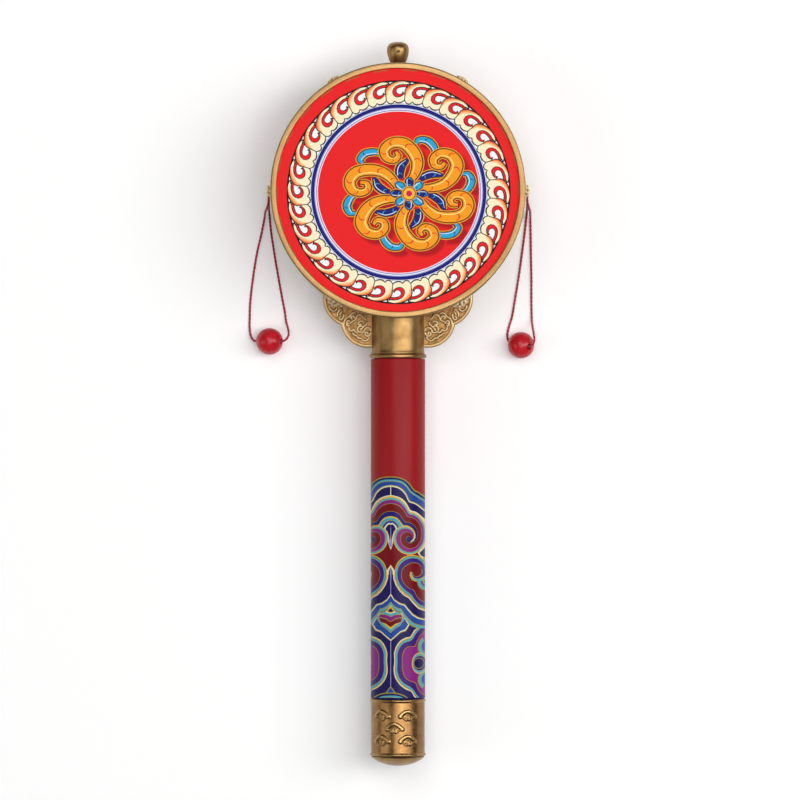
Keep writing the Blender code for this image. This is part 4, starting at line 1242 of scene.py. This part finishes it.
def make_handle(lacquer):
    """The handle: a sheet that carries the print, carried on up and down as plain turned lacquer."""
    picture = Picture()
    draw_print(picture)
    for step in range(1, 28):
        across = PRINT_WIDTH * step / 28
        picture.cut([(across, PRINT_START), (across, PRINT_END)])
    rim = [(0, PRINT_START), (PRINT_WIDTH, PRINT_START), (PRINT_WIDTH, PRINT_END), (0, PRINT_END)]
    places, triangles, colours = picture.sheet(rim, lambda middles: np.tile(LACQUER_RED, (len(middles), 1)))
    vertices, faces, shades = [], [], []
    first = 0
    for mirror, beyond in ((1, False), (-1, False), (1, True), (-1, True)):
        bearing = PRINT_TURN + print_bearing(places[:, 0], mirror, beyond)
        along = DRUM.y - PRINT_TOP - places[:, 1] / PRINT_UNIT * MM
        vertices.append(np.column_stack([
            DRUM.x + HANDLE_R * np.sin(bearing), along, DRUM.z + HANDLE_R * np.cos(bearing)]))
        faces += (triangles + first).tolist()
        shades.append(colours)
        first += len(places)
    upper_tenon, lower_tenon = 10.6 * MM, 10.95 * MM
    top, end = DRUM.y - FERRULE_END + GAP, DRUM.y - SLEEVE_START - GAP
    above = [(HANDLE_R, top + 0.5 * MM), (HANDLE_R - 0.12 * MM, top + 0.12 * MM), (HANDLE_R - 0.5 * MM, top),
             (upper_tenon, top), (upper_tenon, SHELL_R + GAP)]
    below = [(HANDLE_R, end - 0.5 * MM), (HANDLE_R - 0.12 * MM, end - 0.12 * MM), (HANDLE_R - 0.5 * MM, end),
             (lower_tenon, end), (lower_tenon, DRUM.y - SLEEVE_END)]
    every = np.concatenate(vertices)
    for level, profile, colour in ((PRINT_START, above, LACQUER_RED), (PRINT_END, below, DEEP_NAVY)):
        height = DRUM.y - PRINT_TOP - level / PRINT_UNIT * MM
        on_rim = np.flatnonzero(np.abs(every[:, 1] - height) < 1e-7)
        bearings = np.arctan2(every[on_rim, 0] - DRUM.x, every[on_rim, 2] - DRUM.z)
        bearings = np.sort(bearings)
        bearings = bearings[np.append(True, np.diff(bearings) > 1e-5)]
        count = len(bearings)
        rings = [(HANDLE_R, DRUM.y - height)] + profile
        for radius, reach in rings:
            vertices.append(np.column_stack([
                DRUM.x + radius * np.sin(bearings), np.full(count, DRUM.y - reach),
                DRUM.z + radius * np.cos(bearings)]))
        for ring in range(len(rings) - 1):
            for step in range(count):
                here, following = first + ring * count + step, first + ring * count + (step + 1) % count
                faces.append([here, following, following + count, here + count])
        faces.append([first + (len(rings) - 1) * count + step for step in range(count)])
        shades.append(np.tile(colour, (count * (len(rings) - 1) + 1, 1)))
        first += count * len(rings)
    obj = new_mesh_piece("handle_lacquer", np.concatenate(vertices), faces)
    paint(obj, np.concatenate(shades))
    merge_seams(obj)
    smooth_shaded(obj, 40)
    return finished(obj, lacquer, "printed_lacquer", "handle")


def ridge_heights(places, ridges):
    """How high round-backed ridges, each a line with its half width and height, stand over some places."""
    heights = np.zeros(len(places))
    for line, half_width, height in ridges:
        points = np.array([tuple(point)[:2] for point in line])
        for start, end in zip(points, points[1:]):
            along = end - start
            low = np.minimum(start, end) - half_width
            high = np.maximum(start, end) + half_width
            near = np.flatnonzero(((places > low) & (places < high)).all(axis=1))
            offset = places[near] - start
            share = np.clip(offset @ along / max(along @ along, 1e-12), 0, 1)
            away = np.linalg.norm(offset - share[:, None] * along, axis=1) / half_width
            rise = height * np.sqrt(np.clip(1 - away ** 2, 0, 1))
            heights[near] = np.maximum(heights[near], rise)
    return heights


OUTER_LOBE = (Vector((20.5, -47.2)), 12.6)
INNER_LOBE = (Vector((13.2, -56.85)), 12.1)
WING_GROUND = 0.50
WING_RIM_HALF = 0.85

# The right wing's ridges, read off 59 to a millimetre, from a corner above the wing and beside the ferrule
WING_RIDGES = (
    ((170, 700), (205, 665), (240, 640), (275, 590), (325, 568), (375, 582), (405, 615), (425, 665),
     (445, 710),
     (495, 732), (540, 760), (572, 792)),
    ((430, 545), (480, 515), (540, 538), (582, 582), (604, 622), (655, 642), (702, 690), (732, 750),
     (738, 812)),
    ((462, 652), (486, 606), (530, 604), (556, 644), (530, 676)),
    ((590, 742), (630, 718), (664, 754), (652, 802), (614, 792)),
    ((598, 846), (640, 862), (674, 832)),
    ((140, 775), (160, 822), (200, 856), (238, 884)),
    ((240, 762), (290, 732), (342, 758), (372, 802), (340, 830), (290, 812)),
    ((236, 900), (290, 862), (352, 880), (384, 930), (378, 975)),
    ((270, 930), (306, 948), (296, 976)),
    ((42, 985), (62, 932), (112, 905), (170, 920), (202, 962), (222, 1012), (258, 1042), (304, 1032),
     (352, 1012),
     (400, 1032), (450, 1010), (474, 968)),
    ((48, 1042), (62, 1092), (112, 1130), (170, 1112), (190, 1062), (154, 1022), (112, 1040), (122, 1076)),
    ((80, 1162), (112, 1212), (170, 1250), (232, 1242), (272, 1202), (312, 1182), (362, 1182), (392, 1134),
     (432, 1112), (482, 1092), (512, 1050)),
    ((484, 948), (540, 990), (598, 962), (612, 905)),
    ((800, 424), (852, 452), (890, 502), (910, 560), (902, 612)),
    ((744, 560), (762, 640), (802, 690), (850, 682), (856, 636), (816, 606)),
    ((788, 484), (822, 522), (842, 572)),
    ((920, 404), (952, 452), (1010, 472), (1070, 442), (1110, 392), (1114, 332)),
)


def lobed_line(inset, steps=40):
    """The wing's free edge, set in by some way, from behind the hoop to behind the ferrule."""
    (outer, outer_r), (inner, inner_r) = OUTER_LOBE, INNER_LOBE
    outer_r, inner_r = outer_r - inset, inner_r - inset
    between = inner - outer
    along = (between.length_squared + outer_r ** 2 - inner_r ** 2) / (2 * between.length)
    across = math.sqrt(outer_r ** 2 - along ** 2)
    direction = between.normalized()
    meeting = outer + along * direction + across * Vector((-direction.y, direction.x))
    line = []
    for centre, radius, start, end in (
        (outer, outer_r, math.radians(12), math.atan2(*(meeting - outer).yx)),
        (inner, inner_r, math.atan2(*(meeting - inner).yx), math.radians(-100)),
    ):
        for step in range(steps + 1):
            turn = start + (end - start) * step / steps
            line.append(centre + radius * Vector((math.cos(turn), math.sin(turn))))
    return line


def make_wings(brass):
    """The cast side plates: one plate with a rolled rim and cloud scrolls, and its mirror image."""
    seat, collar = (SHELL_R + GAP) / MM, 11.5 + 0.06
    stud_turn = math.radians(150)
    outward = Vector((math.sin(stud_turn), math.cos(stud_turn)))
    aside = Vector((-outward.y, outward.x))
    stud_room = [seat * outward + out * outward + side * aside
                 for out, side in ((-1, -4.8), (1.0, -4.8), (1.9, -4.1), (2.3, -2.9),
                                  (3.1, -2.2), (3.7, -0.9),
                                  (3.7, 0.9), (3.1, 2.2), (2.3, 2.9), (1.9, 4.1), (1.0, 4.8), (-1, 4.8))]
    edge = lobed_line(0)
    outline = edge + [Vector((5.0, -45.0)), Vector((19.0, -38.0))]
    picture = Picture()
    for inset in (0.04, 0.14, 0.3, 0.5, 0.7, 0.85, 1.0, 1.2, 1.4, 1.56, 1.7):
        picture.cut(lobed_line(inset))
    picture.cut(stud_room, closed=True)
    picture.cut([Vector((collar, -75)), Vector((collar, -40))])
    picture.cut([seat * Vector((math.sin(turn), -math.cos(turn))) for turn in np.linspace(0.1, 0.9, 60)])
    pitch = 0.21
    grid = np.stack(np.meshgrid(np.arange(11.9, 34, pitch), np.arange(-70, -44, pitch)), axis=-1).reshape(-1, 2)
    rim_middle = np.array([tuple(point) for point in lobed_line(WING_RIM_HALF)])
    away = np.min(np.linalg.norm(grid[:, None] - rim_middle[None], axis=2), axis=1)
    inside = wound_round(grid, np.array([tuple(point) for point in outline]))
    picture.dots = grid[inside & (away > 1.0) & (np.linalg.norm(grid, axis=1) > seat + 0.1)]
    places, triangles, _ = picture.sheet(outline, lambda middles: np.zeros((len(middles), 4)))
    middles = places[triangles].mean(axis=1)
    kept = (middles[:, 0] > collar) & (np.linalg.norm(middles, axis=1) > seat)
    kept &= ~wound_round(middles, np.array([tuple(point) for point in stud_room]))
    places, triangles = without_spares(places, triangles[kept])
    edge_line = np.array([tuple(point) for point in edge])
    from_edge = line_distance(places, edge_line)
    rim = np.sqrt(np.clip(1 - (1 - from_edge / WING_RIM_HALF) ** 2, 0, 1))
    rim[from_edge > 2 * WING_RIM_HALF] = 0
    ridges = []
    for route in WING_RIDGES:
        line = [Vector((11.3 + 0.017 * x, -44.85 - 0.0168 * y, 0)) for x, y in route]
        ridges.append((smooth_through(line, 6), 0.46, 0.42))
    relief = ridge_heights(places, ridges)
    heights = np.maximum(WING_GROUND + relief, WING_RIM_HALF * rim)
    in_ground = from_edge > WING_RIM_HALF
    heights[~in_ground] = (WING_RIM_HALF * rim)[~in_ground]
    # Ridge crests and the rolled rim are lightened towards cream: wear together with a painted highlight.
    wear_and_highlight = np.clip(np.maximum(relief / 0.42, 0.9 * rim * (from_edge < 2 * WING_RIM_HALF)), 0, 1) ** 2
    count = len(places)
    directed = np.concatenate([triangles[:, [0, 1]], triangles[:, [1, 2]], triangles[:, [2, 0]]])
    _, first, times = np.unique(np.sort(directed, axis=1), axis=0, return_index=True, return_counts=True)
    border = directed[first[times == 1]]
    for side, name in ((1, "right"), (-1, "left")):
        upper = np.column_stack([side * places[:, 0], places[:, 1], heights])
        lower = upper * (1, 1, -1)
        vertices = np.concatenate([upper, lower]) * MM + np.array(DRUM)
        faces = triangles.tolist() + (triangles[:, ::-1] + count).tolist()
        faces += [[end, start, start + count, end + count] for start, end in border.tolist()]
        obj = new_mesh_piece(f"wing_{name}_cast", vertices, faces)
        set_wear_and_highlight(obj, 0.86 * np.concatenate([wear_and_highlight, wear_and_highlight]))
        merge_seams(obj)
        smooth_shaded(obj, 50)
        finished(obj, brass, "aged_brass", f"wing_{name}")


def line_distance(places, line):
    """How far some places lie from a line of points."""
    nearest = np.full(len(places), 1e9)
    for start, end in zip(line, line[1:]):
        along = end - start
        share = np.clip((places - start) @ along / max(along @ along, 1e-12), 0, 1)
        nearest = np.minimum(nearest, np.linalg.norm(places - start - share[:, None] * along, axis=1))
    return nearest


def cloud_ridges():
    """A relief cloud in millimetres: an arch with a knob at each end over a round eye."""
    arch = [(-3.6, -0.3), (-2.7, 0.6), (-1.4, 1.5), (0.1, 1.8), (1.5, 1.3), (2.7, 0.4), (3.6, -0.3)]
    eye = [(0.1 + 0.85 * math.cos(turn), -0.85 + 0.85 * math.sin(turn)) for turn in np.linspace(0.4, 5.9, 14)]
    ridges = [(smooth_corners(arch), 0.85, 0.42), (smooth_corners(eye, 2), 0.40, 0.34)]
    ridges.append(([Vector((0.1, -0.85)), Vector((0.3, -0.75))], 0.48, 0.32))
    for side in (-1, 1):
        ridges.append(([Vector((side * 3.6, -0.4)), Vector((side * 3.5, -0.5))], 0.9, 0.46))
        leg = [(side * 2.5, -0.9), (side * 1.9, -1.15), (side * 1.4, -1.7), (side * 0.7, -2.1)]
        ridges.append((smooth_corners(leg), 0.32, 0.26))
    return ridges


def make_sleeve(brass):
    """The pommel's sleeve, rolled at both rims, with clouds worked up in its wall."""
    turn_steps, rows = 384, 124
    radius, wall, lip = 11.85, 0.6, 0.45
    start, length = (DRUM.y - SLEEVE_START) / MM, (SLEEVE_START - SLEEVE_END) / MM
    bearings = math.tau * np.arange(turn_steps) / turn_steps
    downs = length * np.arange(rows + 1) / rows
    base = np.full(rows + 1, radius)
    for edge, reach in ((0.65, 0.65), (length - 0.65, 0.65)):
        bead = np.sqrt(np.clip(1 - ((downs - edge) / reach) ** 2, 0, 1))
        base += (lip + 0.05) * bead - 0.05 * (bead > 0)
    relief = np.zeros((rows + 1, turn_steps))
    ridges = cloud_ridges()
    for spread in (0, -30, 30, 180, 150, 210):
        bearing = CLOUD_BEARING + math.radians(spread)
        levels = (length / 2,) if spread % 180 == 0 else (length / 2 - 5.5, length / 2 + 5.5)
        around = (bearings - bearing + math.pi) % math.tau - math.pi
        for level in levels:
            across, down = np.meshgrid(around * radius, level - downs)
            places = np.column_stack([across.ravel(), down.ravel()])
            near = np.flatnonzero((np.abs(places) < (4.8, 3.0)).all(axis=1))
            rise = np.zeros(len(places))
            rise[near] = ridge_heights(places[near], ridges)
            relief = np.maximum(relief, rise.reshape(relief.shape))
    outer = base[:, None] + relief
    rings = [outer[row] for row in range(rows + 1)]
    levels = list(downs)
    for inside, down in ((radius - wall, length), (radius - wall, 0.0)):
        rings.append(np.full(turn_steps, inside))
        levels.append(down)
    vertices = []
    for ring, down in zip(rings, levels):
        vertices.append(np.column_stack([
            ring * np.sin(bearings), np.full(turn_steps, -start - down), ring * np.cos(bearings)]))
    total = len(rings)
    faces = []
    for row in range(total):
        for step in range(turn_steps):
            here, beside = row * turn_steps + step, row * turn_steps + (step + 1) % turn_steps
            below = turn_steps if row < total - 1 else -row * turn_steps
            faces.append([here, beside, beside + below, here + below])
    obj = new_mesh_piece("pommel_sleeve_cast", np.concatenate(vertices) * MM + np.array(DRUM), faces)
    bright = 0.45 * np.clip(relief / 0.42, 0, 1) ** 2
    bright = np.maximum(bright, (base[:, None] > radius + 0.3) * 0.2)
    set_wear_and_highlight(obj, np.concatenate([bright.ravel(), np.zeros(2 * turn_steps)]))
    merge_seams(obj)
    smooth_shaded(obj, 50)
    return finished(obj, brass, "aged_brass", "pommel_sleeve")


CLOUD_BEARING = math.radians(-8)


# Rosette studs, in millimetres
STUD_R, STUD_PLATE = 5.0, 0.9


def make_studs(brass):
    """Six rosettes: rings of pearls round a boss, worked as heights over a round plate, each pearl's top
    lightened as a painted highlight with some wear.
    """
    turn_steps, rings = 120, 46
    reaches = np.append(np.linspace(0, STUD_R - 0.1, rings), STUD_R)
    bearings = math.tau * np.arange(turn_steps) / turn_steps
    across = reaches[:, None] * np.cos(bearings)
    aside = reaches[:, None] * np.sin(bearings)
    core = np.interp(reaches, (0, 1.3, 2.4, 2.9, 4.6, STUD_R),
                     (3.2, 3.1, 2.3, 1.2, STUD_PLATE + 0.05, STUD_PLATE - 0.1))
    heights = np.tile(core[:, None], turn_steps)
    wear_and_highlight = np.zeros_like(heights)
    pearls = [(3.82, 10, 1.08, 1.1), (2.05, 7, 0.92, 2.55), (0.0, 1, 1.25, 2.85)]
    for ring, count, size, level in pearls:
        for number in range(count):
            turn = math.tau * (number + 0.5) / count
            away = np.hypot(across - ring * math.cos(turn), aside - ring * math.sin(turn)) / size
            top = level + size * np.sqrt(np.clip(1 - away ** 2, 0, 1))
            higher = (away < 1) & (top > heights)
            heights[higher] = top[higher]
            # Pearl tops lightened towards cream: a painted highlight, with some wear.
            wear_and_highlight[higher] = np.maximum(wear_and_highlight, np.clip(1.7 - away, 0, 1))[higher]
    heights[-1] = STUD_PLATE - 0.1
    vertices = [np.column_stack([across[row], aside[row], heights[row]]) for row in range(1, len(reaches))]
    vertices.append(np.column_stack([across[-1], aside[-1], np.full(turn_steps, 0.0)]))
    total = len(vertices)
    faces = []
    for row in range(total - 1):
        for step in range(turn_steps):
            here, beside = row * turn_steps + step, row * turn_steps + (step + 1) % turn_steps
            faces.append([here, here + turn_steps, beside + turn_steps, beside])
    tip = total * turn_steps
    faces += [[tip, step, (step + 1) % turn_steps] for step in range(turn_steps)]
    faces.append([(total - 1) * turn_steps + step for step in range(turn_steps)][::-1])
    vertices.append(np.array([[0, 0, heights[0, 0]]]))
    shares = np.concatenate([wear_and_highlight[1:].ravel(), np.zeros(turn_steps), [1.0]])
    pattern = new_mesh_piece("stud_pattern", np.concatenate(vertices) * MM, faces)
    set_wear_and_highlight(pattern, shares)
    merge_seams(pattern)
    smooth_shaded(pattern, 60)
    for number in range(6):
        turn = math.tau * (number + 0.5) / 6
        outward = Vector((math.sin(turn), math.cos(turn), 0))
        stud = pattern.copy()
        stud.data = pattern.data.copy()
        stud.name = f"stud_{number + 1}_rosette"
        bpy.context.scene.collection.objects.link(stud)
        side = {1: 1, 4: -1}.get(number)
        if side:
            bpy.ops.object.select_all(action="DESELECT")
            bpy.ops.mesh.primitive_cube_add(size=1, location=(side * 5.0 * MM, 0, 2.6 * MM))
            slot = bpy.context.object
            slot.data.transform(Matrix.Diagonal((6.8 * MM, 3.3 * MM, 1.7 * MM, 1)))
            cut_away(stud, slot)
        stud.data.transform(Matrix.LocRotScale(
            DRUM + (SHELL_R + GAP) * outward, Euler((-math.pi / 2, 0, -turn)), None))
        finished(stud, brass, "aged_brass", f"stud_{number + 1}")
    bpy.data.objects.remove(pattern, do_unlink=True)


make_camera()
make_studio()
THREAD = crimson_thread()
PAINT = bead_paint()
LEFT_BEAD = make_bead("bead_left", LEFT_BEAD_TILT, PAINT)
RIGHT_BEAD = make_bead("bead_right", RIGHT_BEAD_TILT, PAINT)
make_cord("cord_left", LEFT_ROUTE, THREAD)
make_cord("cord_right", RIGHT_ROUTE, THREAD)
make_drum(hoop_gold(), red_lacquer(), plain_skin())
BRASS = aged_brass()
TURNED = turned_brass()
make_printed_head(printed_skin())
make_finial(TURNED)
make_ferrule(TURNED)
make_cap(TURNED)
make_handle(printed_film())
make_wings(BRASS)
make_sleeve(pressed_brass())
make_studs(BRASS)
